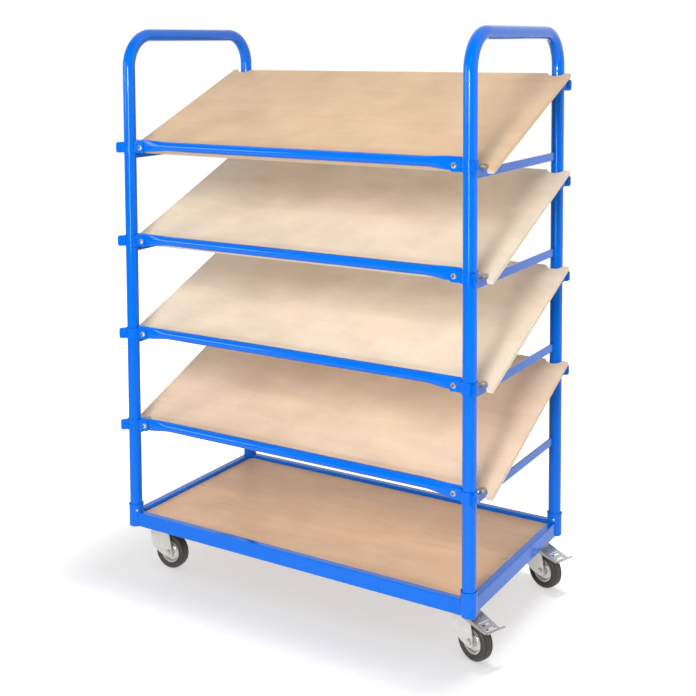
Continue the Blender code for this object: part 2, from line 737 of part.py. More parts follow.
def brake_pedal():
    """Inverted channel on a pin through the fork, with a slotted top, a lip at the tip and a shoe."""
    slope = math.tan(math.radians(PEDAL_SLOPE))
    inner = FORK_INNER_WIDTH / 2 + FORK_SHEET + RUN_GAP
    outer = inner + PEDAL_SHEET
    tip_x = PEDAL_PIVOT_BACK + PEDAL_LENGTH
    start_x = FORK_HEAD_DIA / 2 + 3 * RUN_GAP
    lug = PEDAL_LUG_RADIUS

    def top(x):
        return FORK_WEB_TOP + PEDAL_RISE + PEDAL_SHEET - (x - FORK_REAR_REACH) * slope

    def sheet(outline, width, y):
        mesh = plate(outline, width)
        mesh.transform(Matrix.Translation((0, y, 0)) @ Matrix.Rotation(math.radians(90), 4, "X"))
        return mesh

    tread = [(start_x, top(start_x)), (tip_x, top(tip_x))]
    tread += [(x, z - PEDAL_SHEET) for x, z in reversed(tread)]
    flange = [(PEDAL_PIVOT_BACK - PEDAL_LUG_FRONT, top(start_x) - PEDAL_SHEET), (start_x, top(start_x)), (tip_x, top(tip_x))]
    flange += [(tip_x, top(tip_x) - PEDAL_TIP_DEPTH)]
    flange += [(PEDAL_PIVOT_BACK + lug, PEDAL_PIVOT_HEIGHT - lug), (PEDAL_PIVOT_BACK - lug, PEDAL_PIVOT_HEIGHT - lug)]
    flange += [(PEDAL_PIVOT_BACK - PEDAL_LUG_FRONT, PEDAL_PIVOT_HEIGHT)]
    slots = []
    for sign in (-1, 1):
        at = tip_x - 0.6 * PEDAL_SLOT_LENGTH + sign * 0.3 * PEDAL_SLOT_LENGTH
        half = PEDAL_SLOT_WIDTH / 2
        across_half = PEDAL_SLOT_LENGTH / 2
        slots.append(
            box(at - half, at + half, -across_half, across_half, PEDAL_PIVOT_HEIGHT - FORK_LUG_RADIUS, FORK_TOP)
        )
    shoe_x = PEDAL_PIVOT_BACK + SHOE_BACK
    from_axle = shoe_x - CASTOR_TRAIL
    tyre_top = WHEEL_R + math.sqrt(WHEEL_R * WHEEL_R - from_axle * from_axle)
    shoe = box(
        shoe_x - SHOE_LENGTH / 2,
        shoe_x + SHOE_LENGTH / 2,
        -TYRE_WIDTH / 2 * 0.7,
        TYRE_WIDTH / 2 * 0.7,
        tyre_top + SHOE_CLEARANCE,
        top(shoe_x) - PEDAL_SHEET / 2,
    )
    lip = box(-PEDAL_SHEET / 2, PEDAL_TIP_LENGTH, -inner, outer + PEDAL_TIP_STICK_OUT, -PEDAL_SHEET, 0)
    lip.transform(
        Matrix.Translation((tip_x, 0, top(tip_x) - PEDAL_SHEET / 4))
        @ Matrix.Rotation(math.radians(PEDAL_TIP_DROOP), 4, "Y")
    )
    channel = sheet(tread, 2 * outer - PEDAL_SHEET, 0)
    channel = combined(channel, slots, "DIFFERENCE")
    pin = cylinder(PEDAL_PIN_DIA / 2, -inner - PEDAL_SHEET / 2, inner + PEDAL_SHEET / 2, 8, across(PEDAL_PIVOT_BACK, PEDAL_PIVOT_HEIGHT))
    centre = (inner + outer) / 2
    joined = [sheet(flange, PEDAL_SHEET, -centre), sheet(flange, PEDAL_SHEET, centre), lip, shoe, pin]
    return combined(channel, joined, "UNION")


def about(matrix, mesh):
    """A mesh taken to the frame of the given pivot, so that its object's origin lies there."""
    mesh.transform(matrix.inverted())
    return mesh


# End frames and their crossbars
SIDES = {"left": -1, "right": 1}
for word, side in SIDES.items():
    add_part(f"{word}_end_frame", end_frame(side), BLUE, 0.25, 0.0)

# Base
add_part("base_frame", base_frame(), BLUE, 0.25, 0.0)
add_part("base_board", base_board(), BIRCH, 0.55, 0.0)

# Shelf levels, counted from the bottom
front_rail = flat_ended_rail(-1)
rear_rail = flat_ended_rail(1)
clamp = strap_clamp()
clamps = {}
for corner, (sx, sy, _heading, _braked) in CORNERS.items():
    clamps[corner] = moved(clamp, Matrix.Diagonal((sx, -sy, 1, 1)))
for number in range(1, LEVEL_COUNT + 1):
    level = FIRST_LEVEL + (number - 1) * LEVEL_PITCH
    add_part(f"shelf_board_{number}", shelf_board(level), BIRCH, 0.55, 0.0)
    for word, side in SIDES.items():
        add_part(f"{word}_crossbar_{number}", crossbar(side, level), BLUE, 0.25, 0.0)
    flat_face = HALF_Y + RAIL_FLAT_THICKNESS / 2
    front_place = Matrix.Translation((0, -flat_face, level + RAIL_LIFT))
    rear_place = Matrix.Translation((0, flat_face, level + REAR_RISE + RAIL_LIFT))
    add_part(f"front_rail_{number}", front_rail, BLUE, 0.25, 0.0, None, front_place)
    add_part(f"rear_rail_{number}", rear_rail, BLUE, 0.25, 0.0, None, rear_place)
    for corner, (sx, sy, _heading, _braked) in CORNERS.items():
        height = level + (REAR_RISE if sy > 0 else 0)
        place = Matrix.Translation((sx * HALF_X, sy * HALF_Y, height))
        add_part(f"{corner}_clamp_{number}", clamps[corner], BLUE, 0.25, 0.0, None, place)

# Castors
plate_mesh = castor_plate()
fork_meshes = {braked: castor_fork(braked) for braked in (False, True)}
rim_mesh = wheel_rim()
tyre_mesh = wheel_tyre()
pedal_mesh = about(Matrix.Translation((PEDAL_PIVOT_BACK, 0, PEDAL_PIVOT_HEIGHT)), brake_pedal())
for corner, (sx, sy, heading, braked) in CORNERS.items():
    swivel = bpy.data.objects.new(f"{corner}_swivel", None)
    parts.objects.link(swivel)
    inset_y = CASTOR_INSET_FRONT if sy < 0 else CASTOR_INSET_REAR
    swivel.location = (sx * (HALF_X - CASTOR_INSET_X), sy * (HALF_Y - inset_y), 0)
    swivel.rotation_euler = (0, 0, math.radians(heading))
    level_place = Matrix.Translation(swivel.location)
    add_part(f"{corner}_castor_plate", plate_mesh, ZINC, 0.4, 0.9, None, level_place)
    add_part(f"{corner}_castor_fork", fork_meshes[braked], ZINC, 0.4, 0.9, swivel)
    axle_place = across(CASTOR_TRAIL, WHEEL_R)
    add_part(f"{corner}_wheel_rim", rim_mesh, ZINC, 0.45, 0.6, swivel, axle_place)
    add_part(f"{corner}_wheel_tyre", tyre_mesh, RUBBER, 0.75, 0.0, swivel, axle_place)
    if braked:
        pivot_place = Matrix.Translation((PEDAL_PIVOT_BACK, 0, PEDAL_PIVOT_HEIGHT))
        add_part(f"{corner}_brake_pedal", pedal_mesh, ZINC, 0.4, 0.9, swivel, pivot_place)

# The whole cart is set with the middle of its length on the origin
bpy.context.view_layer.update()
solids = [obj for obj in parts.objects if obj.type == "MESH"]
along = [(obj.matrix_world @ vert.co).x for obj in solids for vert in obj.data.vertices]
middle = (min(along) + max(along)) / 2
for obj in parts.objects:
    if obj.parent is None:
        obj.location.x -= middle
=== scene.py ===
import math

import bmesh
import bpy
from mathutils import Matrix, Quaternion, Vector


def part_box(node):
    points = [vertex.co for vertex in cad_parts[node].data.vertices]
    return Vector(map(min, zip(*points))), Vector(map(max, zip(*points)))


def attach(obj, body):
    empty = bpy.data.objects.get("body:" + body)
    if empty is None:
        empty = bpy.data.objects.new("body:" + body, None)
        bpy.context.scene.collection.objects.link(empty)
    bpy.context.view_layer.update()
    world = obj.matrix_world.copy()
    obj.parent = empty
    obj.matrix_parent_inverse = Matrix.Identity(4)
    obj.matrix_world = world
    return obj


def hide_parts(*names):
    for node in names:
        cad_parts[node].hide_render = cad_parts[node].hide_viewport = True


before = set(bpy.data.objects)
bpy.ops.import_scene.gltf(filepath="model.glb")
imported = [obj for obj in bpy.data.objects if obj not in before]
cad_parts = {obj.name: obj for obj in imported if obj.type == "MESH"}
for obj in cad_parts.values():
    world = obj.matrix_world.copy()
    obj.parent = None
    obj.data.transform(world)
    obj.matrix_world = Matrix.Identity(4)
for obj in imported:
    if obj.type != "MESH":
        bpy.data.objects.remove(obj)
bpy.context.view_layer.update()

# Studio: white paper for a floor, a broad soft lamp in front, weaker ones at both sides and overhead,
# two strips that streak the tubes, the room's even light and a camera at the right at handle height.
# The camera's picture is slid down by a lean of its axis, which keeps the legs upright in it.
def new_finish(name):
    """A new material, with the nodes, the links and the main shader of its tree."""
    finish = bpy.data.materials.new(name)
    finish.use_nodes = True
    tree = finish.node_tree
    return finish, tree.nodes, tree.links, tree.nodes["Principled BSDF"]


def add_node(nodes, kind, values=None, operation=None, data_type=None):
    """A new shader node, with what it works out and the values of its inputs."""
    node = nodes.new(f"ShaderNode{kind}")
    if operation:
        node.operation = operation
    if data_type:
        node.data_type = data_type
    for socket, value in (values or {}).items():
        node.inputs[socket].default_value = value
    return node


def join_nodes(links, *wires):
    """Each wire names a node and its output, and then a node and its input."""
    for source, output, target, socket in wires:
        links.new(source.outputs[output], target.inputs[socket])


scene = bpy.context.scene
scene.view_settings.view_transform = "Standard"
base_low, base_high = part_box("base_frame")
mid_x = (base_low.x + base_high.x) / 2

floor_half = 9.0
floor_below = Matrix.Translation((0, 0, -0.0004))
bm = bmesh.new()
bmesh.ops.create_grid(bm, x_segments=1, y_segments=1, size=floor_half, matrix=floor_below)
floor_mesh = bpy.data.meshes.new("studio_floor")
bm.to_mesh(floor_mesh)
bm.free()
floor = bpy.data.objects.new("studio_floor", floor_mesh)
scene.collection.objects.link(floor)
floor.visible_glossy = False
paper, nodes, links, shader = new_finish("studio_paper")
shader.inputs["Base Color"].default_value = (0.86, 0.86, 0.86, 1)
shader.inputs["Roughness"].default_value = 0.9
shader.inputs["Specular IOR Level"].default_value = 0.1
shader.inputs["Emission Color"].default_value = (1, 1, 1, 1)
# The floor glows for camera rays only, more with distance from the middle. Far off it blends into the white
# room; the dimmer glow near the cart is painted shade round it.
seen = add_node(nodes, "LightPath")
spot = add_node(nodes, "TexCoord")
away = add_node(nodes, "VectorMath", operation="LENGTH")
white = add_node(nodes, "MapRange", {"From Min": 0.8, "From Max": 3.0, "To Min": 0.54, "To Max": 0.80})
lift = add_node(nodes, "Math", operation="MULTIPLY")
join_nodes(
    links,
    (spot, "Object", away, 0),
    (away, "Value", white, "Value"),
    (seen, "Is Camera Ray", lift, 0),
    (white, "Result", lift, 1),
    (lift, "Value", shader, "Emission Strength"),
)
floor_mesh.materials.append(paper)

room = bpy.data.worlds.new("studio_room")
room.use_nodes = True
scene.world = room
nodes = room.node_tree.nodes
links = room.node_tree.links
nodes.clear()
seen = add_node(nodes, "LightPath")
way = add_node(nodes, "TexCoord")
split = add_node(nodes, "SeparateXYZ")
mirrored = add_node(nodes, "MapRange", {"From Min": -0.35, "From Max": 0.25, "To Min": 0.03, "To Max": 1.35})
soft = add_node(nodes, "Mix", {2: 0.34})
level = add_node(nodes, "Mix", {3: 1.0})
backdrop = add_node(nodes, "Background", {"Color": (1, 1, 1, 1)})
output = add_node(nodes, "OutputWorld")
ground = add_node(nodes, "MapRange", {"From Min": -0.22, "From Max": -0.42, "To Max": 1.05})
either = add_node(nodes, "Math", operation="MAXIMUM")
join_nodes(
    links,
    (way, "Generated", split, "Vector"),
    (split, "Y", mirrored, "Value"),
    (split, "Z", ground, "Value"),
    (mirrored, "Result", either, 0),
    (ground, "Result", either, 1),
    (seen, "Is Glossy Ray", soft, 0),
    (either, "Value", soft, 3),
    (seen, "Is Camera Ray", level, 0),
    (soft, 0, level, 2),
    (level, 0, backdrop, "Strength"),
    (backdrop, "Background", output, "Surface"),
)

paper_only = bpy.data.collections.new("light_on_paper_only")
paper_only.objects.link(floor)
not_paper = bpy.data.collections.new("light_not_on_paper")
not_paper.objects.link(floor)
not_paper.collection_objects[0].light_linking.link_state = "EXCLUDE"
for lamp_name, place, aim, watts, wide, tall, reached, mirrored_too in (
    ("front_lamp", (1.3, -4.3, 3.3), (0.0, 0.0, 0.7), 184, 1.8, 1.8, not_paper, False),
    ("right_lamp", (4.2, -0.8, 1.6), (0.0, 0.0, 0.8), 60, 1.4, 1.4, not_paper, False),
    ("left_lamp", (-3.2, -3.6, 1.7), (0.0, 0.0, 0.7), 40, 1.4, 1.4, not_paper, True),
    ("top_lamp", (0.35, 0.75, 6.5), (0.0, 0.0, 0.0), 276, 1.4, 1.4, paper_only, False),
    ("tall_strip", (0.9, -4.3, 0.70), (0.2, 0.0, 0.70), 32.0, 0.80, 1.00, not_paper, True),
    ("short_strip", (0.9, -4.3, 1.33), (0.2, 0.0, 1.33), 50.0, 0.50, 0.26, not_paper, True),
):
    lamp = bpy.data.lights.new(lamp_name, "AREA")
    lamp.energy = watts
    lamp.shape = "RECTANGLE"
    lamp.size = wide
    lamp.size_y = tall
    holder = bpy.data.objects.new(lamp_name, lamp)
    holder.location = place
    holder.rotation_euler = (Vector(aim) - Vector(place)).to_track_quat("-Z", "Y").to_euler()
    holder.visible_glossy = mirrored_too
    holder.light_linking.receiver_collection = reached
    scene.collection.objects.link(holder)

camera = bpy.data.objects.new("photo_camera", bpy.data.cameras.new("photo_camera"))
camera.data.sensor_fit = "HORIZONTAL"
camera.data.sensor_width = 36.0
camera.data.lens = 62.134
camera.location = (mid_x + 1.7238, -2.8053, 1.5263)
aim = Vector((-0.52583, 0.84771, -0.06994)).to_track_quat("-Z", "Y")
camera.rotation_euler = (aim @ Quaternion((0, 0, 1), math.radians(-0.292))).to_euler()
stood = Matrix.LocRotScale(camera.location, camera.rotation_euler, None)
lean_aside = -0.0101
lean_down = 0.1903
lean = Matrix.Identity(4)
lean[0][2] = lean_aside
lean[1][2] = lean_down
camera.parent = floor
camera.matrix_parent_inverse = stood @ lean @ stood.inverted()
scene.collection.objects.link(camera)
scene.camera = camera


# Base frame: four rectangular steel tubes welded into round corner sleeves, with flat plates
# in the corners for the castors and two bearers under the deck, all powder coated bright blue.
def add_piece(name, bm, finishes, body="cart", crease=38):
    """A bmesh drawn about the middle of the legs becomes a named object riding on a body."""
    bmesh.ops.recalc_face_normals(bm, faces=bm.faces)
    bmesh.ops.translate(bm, vec=(mid_x, 0, 0), verts=bm.verts)
    mesh = bpy.data.meshes.new(name)
    bm.to_mesh(mesh)
    bm.free()
    for finish in finishes:
        mesh.materials.append(finish)
    mesh.shade_smooth()
    mesh.set_sharp_from_angle(angle=math.radians(crease))
    piece = bpy.data.objects.new(name, mesh)
    scene.collection.objects.link(piece)
    even = piece.modifiers.new("even_faces", "WEIGHTED_NORMAL")
    even.keep_sharp = True
    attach(piece, body)
    return piece


def powder_coat(name, colour):
    """Glossy polyester powder: a faint orange-peel skin and slightly uneven gloss and depth."""
    coat, nodes, links, shader = new_finish(name)
    place = add_node(nodes, "TexCoord")
    cloud = add_node(nodes, "TexNoise", {"Scale": 7.0, "Detail": 3.0})
    depth = add_node(
        nodes, "Mix",
        {
            6: (colour[0] * 0.8, colour[1] * 0.93, colour[2] * 0.95, 1),
            7: (colour[0] * 1.2, colour[1] * 1.06, colour[2] * 1.04, 1),
        },
        data_type="RGBA",
    )
    peel = add_node(nodes, "TexNoise", {"Scale": 520.0, "Detail": 2.0})
    sheen = add_node(nodes, "MapRange", {"To Min": 0.07, "To Max": 0.14})
    skin = add_node(nodes, "Bump", {"Strength": 0.05, "Distance": 0.0004})
    join_nodes(
        links,
        (place, "Object", cloud, "Vector"),
        (place, "Object", peel, "Vector"),
        (cloud, "Fac", depth, 0),
        (depth, 2, shader, "Base Color"),
        (cloud, "Fac", sheen, "Value"),
        (sheen, "Result", shader, "Roughness"),
        (peel, "Fac", skin, "Height"),
        (skin, "Normal", shader, "Normal"),
    )
    shader.inputs["Specular IOR Level"].default_value = 0.28
    return coat


def add_block(bm, low, high, round_edge=0.0, segments=3):
    """A rectangular block between two corners, with its edges rounded over."""
    low = Vector(low)
    high = Vector(high)
    size = Matrix.Diagonal((*(high - low), 1))
    made = bmesh.ops.create_cube(bm, size=1.0, matrix=Matrix.Translation((low + high) / 2) @ size)
    if round_edge:
        edges = list({edge for vert in made["verts"] for edge in vert.link_edges})
        bmesh.ops.bevel(
            bm, geom=edges, offset=round_edge, segments=segments, profile=0.5, affect="EDGES", material=-1
        )


def add_turning(bm, profile, matrix, steps=48, closed=False):
    """A profile of (radius, height) points turned about Z and then placed."""
    verts = [bm.verts.new((radius, 0, height)) for radius, height in profile]
    edges = [bm.edges.new(pair) for pair in zip(verts, verts[1:])]
    if closed:
        edges.append(bm.edges.new((verts[-1], verts[0])))
    before = set(bm.verts) - set(verts)
    bmesh.ops.spin(
        bm, geom=verts + edges, cent=(0, 0, 0), axis=(0, 0, 1), angle=math.tau, steps=steps, use_merge=True
    )
    made = [vert for vert in bm.verts if vert not in before]
    bmesh.ops.remove_doubles(bm, verts=made, dist=0.000005)
    made = [vert for vert in bm.verts if vert not in before]
    bmesh.ops.transform(bm, matrix=matrix, verts=made)


def zinc_plate(name, colour, low_gloss, high_gloss):
    """Bright zinc plating: cool grey metal with soft blotches and fine drawing lines."""
    zinc, nodes, links, shader = new_finish(name)
    place = add_node(nodes, "TexCoord")
    blotch = add_node(nodes, "TexNoise", {"Scale": 60.0, "Detail": 5.0})
    fine = add_node(nodes, "TexNoise", {"Scale": 900.0, "Detail": 2.0})
    tone = add_node(
        nodes, "Mix",
        {
            6: (colour[0] * 0.82, colour[1] * 0.82, colour[2] * 0.82, 1),
            7: (colour[0] * 1.1, colour[1] * 1.1, colour[2] * 1.1, 1),
        },
        data_type="RGBA",
    )
    sheen = add_node(nodes, "MapRange", {"To Min": low_gloss, "To Max": high_gloss})
    skin = add_node(nodes, "Bump", {"Strength": 0.06, "Distance": 0.0003})
    join_nodes(
        links,
        (place, "Object", blotch, "Vector"),
        (place, "Object", fine, "Vector"),
        (blotch, "Fac", tone, 0),
        (tone, 2, shader, "Base Color"),
        (blotch, "Fac", sheen, "Value"),
        (sheen, "Result", shader, "Roughness"),
        (fine, "Fac", skin, "Height"),
        (skin, "Normal", shader, "Normal"),
    )
    shader.inputs["Metallic"].default_value = 0.80
    return zinc


coat_blue = (0.0003, 0.122, 0.600)
half_x = 0.530
half_y = 0.280
under = base_low.z
rail_top = under + 0.040
rail_half = 0.010
rail_short = 0.012
rail_round = 0.0022
bearer_x = 0.180
bearer_half = 0.015
corner_plate = 0.110
sheet = 0.004
sleeve_r = 0.0203
bore_r = 0.0178
sleeve_top = base_high.z
set_screw_z = 0.179
corners = {"front_left": (-1, -1), "front_right": (1, -1), "rear_left": (-1, 1), "rear_right": (1, 1)}
bm = bmesh.new()
for sign in (-1, 1):
    add_block(
        bm,
        (-half_x + rail_short, sign * half_y - rail_half, under),
        (half_x - rail_short, sign * half_y + rail_half, rail_top),
        rail_round,
    )
    add_block(
        bm,
        (sign * half_x - rail_half, -half_y + rail_short, under),
        (sign * half_x + rail_half, half_y - rail_short, rail_top),
        rail_round,
    )
    add_block(
        bm,
        (sign * bearer_x - bearer_half, -half_y, under + sheet),
        (sign * bearer_x + bearer_half, half_y, under + 0.0177),
        0.0015,
    )
sleeve_profile = [
    (0.0, under),
    (sleeve_r - 0.0008, under),
    (sleeve_r, under + 0.0008),
    (sleeve_r, sleeve_top - 0.0056),
    (sleeve_r + 0.0010, sleeve_top - 0.0048),
    (sleeve_r + 0.0010, sleeve_top - 0.0008),
    (sleeve_r + 0.0002, sleeve_top),
    (bore_r + 0.0013, sleeve_top),
    (bore_r + 0.0011, sleeve_top - 0.0050),
    (bore_r, sleeve_top - 0.0054),
    (bore_r, under + sheet),
    (0.0, under + sheet),
]
for sx, sy in corners.values():
    add_turning(bm, sleeve_profile, Matrix.Translation((sx * half_x, sy * half_y, 0)))
    xs = sorted((sx * half_x, sx * (half_x - corner_plate)))
    ys = sorted((sy * half_y, sy * (half_y - corner_plate)))
    add_block(bm, (xs[0], ys[0], under), (xs[1], ys[1], under + sheet), 0.0006, 1)
piece = add_piece("base_frame_coated", bm, [powder_coat("base_powder_coat", coat_blue)])
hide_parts("base_frame")
bm = bmesh.new()
screw_turns = {"front_left": -44, "front_right": 136, "rear_left": 105, "rear_right": -75}
button = [
    (0.0, sleeve_r + 0.0011),
    (0.0016, sleeve_r + 0.0010),
    (0.0029, sleeve_r + 0.0005),
    (0.0034, sleeve_r - 0.0006),
    (0.0, sleeve_r - 0.0006),
]
for corner, (sx, sy) in corners.items():
    screw = Matrix.Translation((sx * half_x, sy * half_y, set_screw_z))
    screw = screw @ Matrix.Rotation(math.radians(screw_turns[corner]), 4, "Z")
    add_turning(bm, button, screw @ Matrix.Rotation(math.pi / 2, 4, "Y"), 20)
piece = add_piece("base_set_screws", bm, [zinc_plate("set_screw_zinc", (0.80, 0.79, 0.76), 0.25, 0.40)])


# Base board: one sheet of twelve millimetre birch plywood let in between the rails, lying on
# the bearers and corner plates, its corners cut away round the sleeves, with a hole at each end.
def birch_face(name, pale, deep, turn, shift, seed):
    """Rotary-cut birch veneer: long soft grain along the sheet, broad flame figure, fine pores."""
    veneer, nodes, links, shader = new_finish(name)
    place = add_node(nodes, "TexCoord")
    lie = add_node(nodes, "Mapping", {"Location": shift, "Rotation": turn})
    flame_scale = add_node(nodes, "Mapping", {"Scale": (1.1, 4.6, 1.0), "Location": (seed, seed * 0.37, 0)})
    grain_scale = add_node(nodes, "Mapping", {"Scale": (9.0, 190.0, 20.0), "Location": (seed * 1.7, seed, 0)})
    flame = add_node(nodes, "TexNoise", {"Scale": 2.3, "Detail": 5.0, "Distortion": 1.4})
    grain = add_node(nodes, "TexNoise", {"Scale": 1.0, "Detail": 4.0})
    figure = add_node(nodes, "MapRange", {"From Min": 0.30, "From Max": 0.72})
    cloud = add_node(nodes, "TexNoise", {"Scale": 7.5, "Detail": 3.0})
    cloudy = add_node(nodes, "MapRange", {"From Min": 0.32, "From Max": 0.68, "To Min": 1.06, "To Max": 0.92})
    fleck_scale = add_node(
        nodes, "Mapping",
        {"Scale": (42.0, 560.0, 20.0), "Location": (seed, seed * 2.1, 0)},
    )
    fleck = add_node(nodes, "TexNoise", {"Scale": 1.0, "Detail": 1.0})
    flecked = add_node(nodes, "MapRange", {"From Min": 0.68, "From Max": 0.78, "To Min": 1.0, "To Max": 0.80})
    worn = add_node(nodes, "Math", operation="MULTIPLY")
    shade = add_node(nodes, "VectorMath", operation="SCALE")
    blend = add_node(nodes, "Math", {1: 0.45}, operation="MULTIPLY_ADD")
    tone = add_node(nodes, "Mix", {6: (*pale, 1), 7: (*deep, 1)}, data_type="RGBA")
    pores = add_node(nodes, "Bump", {"Strength": 0.08, "Distance": 0.0006})
    sheen = add_node(nodes, "MapRange", {"To Min": 0.42, "To Max": 0.60})
    half = add_node(nodes, "Math", {1: 0.55}, operation="MULTIPLY")
    join_nodes(
        links,
        (place, "Object", lie, "Vector"),
        (lie, "Vector", flame_scale, "Vector"),
        (lie, "Vector", grain_scale, "Vector"),
        (flame_scale, "Vector", flame, "Vector"),
        (grain_scale, "Vector", grain, "Vector"),
        (flame, "Fac", figure, "Value"),
        (figure, "Result", half, 0),
        (grain, "Fac", blend, 0),
        (half, "Value", blend, 2),
        (blend, "Value", tone, 0),
        (lie, "Vector", cloud, "Vector"),
        (cloud, "Fac", cloudy, "Value"),
        (lie, "Vector", fleck_scale, "Vector"),
        (fleck_scale, "Vector", fleck, "Vector"),
        (fleck, "Fac", flecked, "Value"),
        (cloudy, "Result", worn, 0),
        (flecked, "Result", worn, 1),
        (tone, 2, shade, 0),
        (worn, "Value", shade, "Scale"),
        (shade, "Vector", shader, "Base Color"),
        (grain, "Fac", pores, "Height"),
        (pores, "Normal", shader, "Normal"),
        (grain, "Fac", sheen, "Value"),
        (sheen, "Result", shader, "Roughness"),
    )
    shader.inputs["Specular IOR Level"].default_value = 0.35
    return veneer


def birch_edge(name, pale, deep, turn, shift, thickness):
    """Sawn plywood edge: pale and dark plies in turn through the thickness, with a fuzzy cut."""
    edge, nodes, links, shader = new_finish(name)
    place = add_node(nodes, "TexCoord")
    lie = add_node(nodes, "Mapping", {"Location": shift, "Rotation": turn})
    split = add_node(nodes, "SeparateXYZ")
    plies = add_node(nodes, "Math", {1: 9.0 * math.pi / thickness}, operation="MULTIPLY")
    wave = add_node(nodes, "Math", operation="SINE")
    step = add_node(nodes, "MapRange", {"From Min": -0.35, "From Max": 0.35})
    fuzz = add_node(nodes, "TexNoise", {"Scale": 130.0, "Detail": 4.0})
    mixed = add_node(nodes, "Math", operation="MULTIPLY")
    tone = add_node(nodes, "Mix", {6: (*pale, 1), 7: (*deep, 1)}, data_type="RGBA")
    rough = add_node(nodes, "Bump", {"Strength": 0.25, "Distance": 0.0006})
    join_nodes(
        links,
        (place, "Object", lie, "Vector"),
        (place, "Object", fuzz, "Vector"),
        (lie, "Vector", split, "Vector"),
        (split, "Z", plies, 0),
        (plies, "Value", wave, 0),
        (wave, "Value", step, "Value"),
        (step, "Result", mixed, 0),
        (fuzz, "Fac", mixed, 1),
        (mixed, "Value", tone, 0),
        (tone, 2, shader, "Base Color"),
        (fuzz, "Fac", rough, "Height"),
        (rough, "Normal", shader, "Normal"),
    )
    shader.inputs["Roughness"].default_value = 0.7
    return edge


def only_verts(geometry):
    """The vertices in what an operator gives back."""
    return [item for item in geometry if isinstance(item, bmesh.types.BMVert)]


deck_low, deck_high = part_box("base_board")
deck_thick = deck_high.z - deck_low.z
deck_x = deck_high.x - mid_x
deck_y = deck_high.y
corner_r = sleeve_r + 0.004
hole_in = 0.018
hole_r = 0.0065
reach = math.sqrt(corner_r**2 - (half_x - deck_x) ** 2)
bm = bmesh.new()
outline = []
for sx, sy, first, last in ((1, -1, 0, 1), (1, 1, 1, 0), (-1, 1, 0, 1), (-1, -1, 1, 0)):
    ends = [
        Vector((sx * half_x - sx * reach, sy * deck_y, 0)),
        Vector((sx * deck_x, sy * half_y - sy * reach, 0)),
    ]
    start = bm.verts.new(ends[first])
    centre = Vector((sx * half_x, sy * half_y, 0))
    a = ends[first] - centre
    b = ends[last] - centre
    turn = math.atan2(a.x * b.y - a.y * b.x, a.dot(b))
    known = set(bm.verts)
    bmesh.ops.spin(bm, geom=[start], cent=centre, axis=(0, 0, 1), angle=turn, steps=10)
    arc = [vert for vert in bm.verts if vert not in known]
    arc.sort(key=lambda vert: (vert.co - ends[first]).length)
    outline += [start] + arc
for edge in list(bm.edges):
    bm.edges.remove(edge)
for pair in zip(outline, outline[1:] + outline[:1]):
    bm.edges.new(pair)
for side in (-1, 1):
    hole = Matrix.Translation((side * (deck_x - hole_in), 0, 0))
    bmesh.ops.create_circle(bm, segments=24, radius=hole_r, matrix=hole)
bmesh.ops.triangle_fill(bm, use_beauty=True, edges=list(bm.edges))
bmesh.ops.recalc_face_normals(bm, faces=bm.faces)
lifted = bmesh.ops.extrude_face_region(bm, geom=list(bm.faces))
bmesh.ops.translate(bm, vec=(0, 0, deck_thick), verts=only_verts(lifted["geom"]))
bmesh.ops.translate(bm, vec=(0, 0, deck_low.z), verts=bm.verts)
bmesh.ops.recalc_face_normals(bm, faces=bm.faces)
rims = [edge for edge in bm.edges if edge.calc_face_angle(0) > 1.2]
rims = [edge for edge in rims if abs(edge.verts[0].co.z - edge.verts[1].co.z) < 0.0001]
bmesh.ops.bevel(bm, geom=rims, offset=0.0008, segments=2, profile=0.5, affect="EDGES", material=-1)
bm.normal_update()
for face in bm.faces:
    face.material_index = 0 if abs(face.normal.z) > 0.9 else 1
deck_pale = (0.780, 0.535, 0.350)
deck_deep = (0.640, 0.405, 0.245)
deck_glue = (0.33, 0.20, 0.11)
level_turn = (0, 0, 0)
deck_down = (0, 0, -deck_low.z)
deck_faces = birch_face("deck_birch_face", deck_pale, deck_deep, level_turn, (0, 0, 0), 3.1)
deck_edges = birch_edge("deck_birch_edge", deck_pale, deck_glue, level_turn, deck_down, deck_thick)
piece = add_piece("base_board_ply", bm, [deck_faces, deck_edges])
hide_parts("base_board")

# End frames: one length of round steel tube bent twice into an inverted U at each end of the
# cart. Its legs stand in the base sleeves and its top bar is the handle to push by.
def pull(bm, ring, step):
    """Draws the open end of a tube along a straight step."""
    grown = bmesh.ops.extrude_edge_only(bm, edges=ring)["geom"]
    fresh = only_verts(grown)
    bmesh.ops.translate(bm, vec=step, verts=fresh)
    ends = [item for item in grown if isinstance(item, bmesh.types.BMEdge)]
    return [edge for edge in ends if set(edge.verts) <= set(fresh)]


def bend(bm, ring, centre):
    """Bends the open end of a tube a quarter turn about a centre."""
    swept = bmesh.ops.spin(
        bm, geom=ring, cent=centre, axis=(1, 0, 0), angle=-math.pi / 2, steps=18, use_duplicate=False
    )
    return [item for item in swept["geom_last"] if isinstance(item, bmesh.types.BMEdge)]


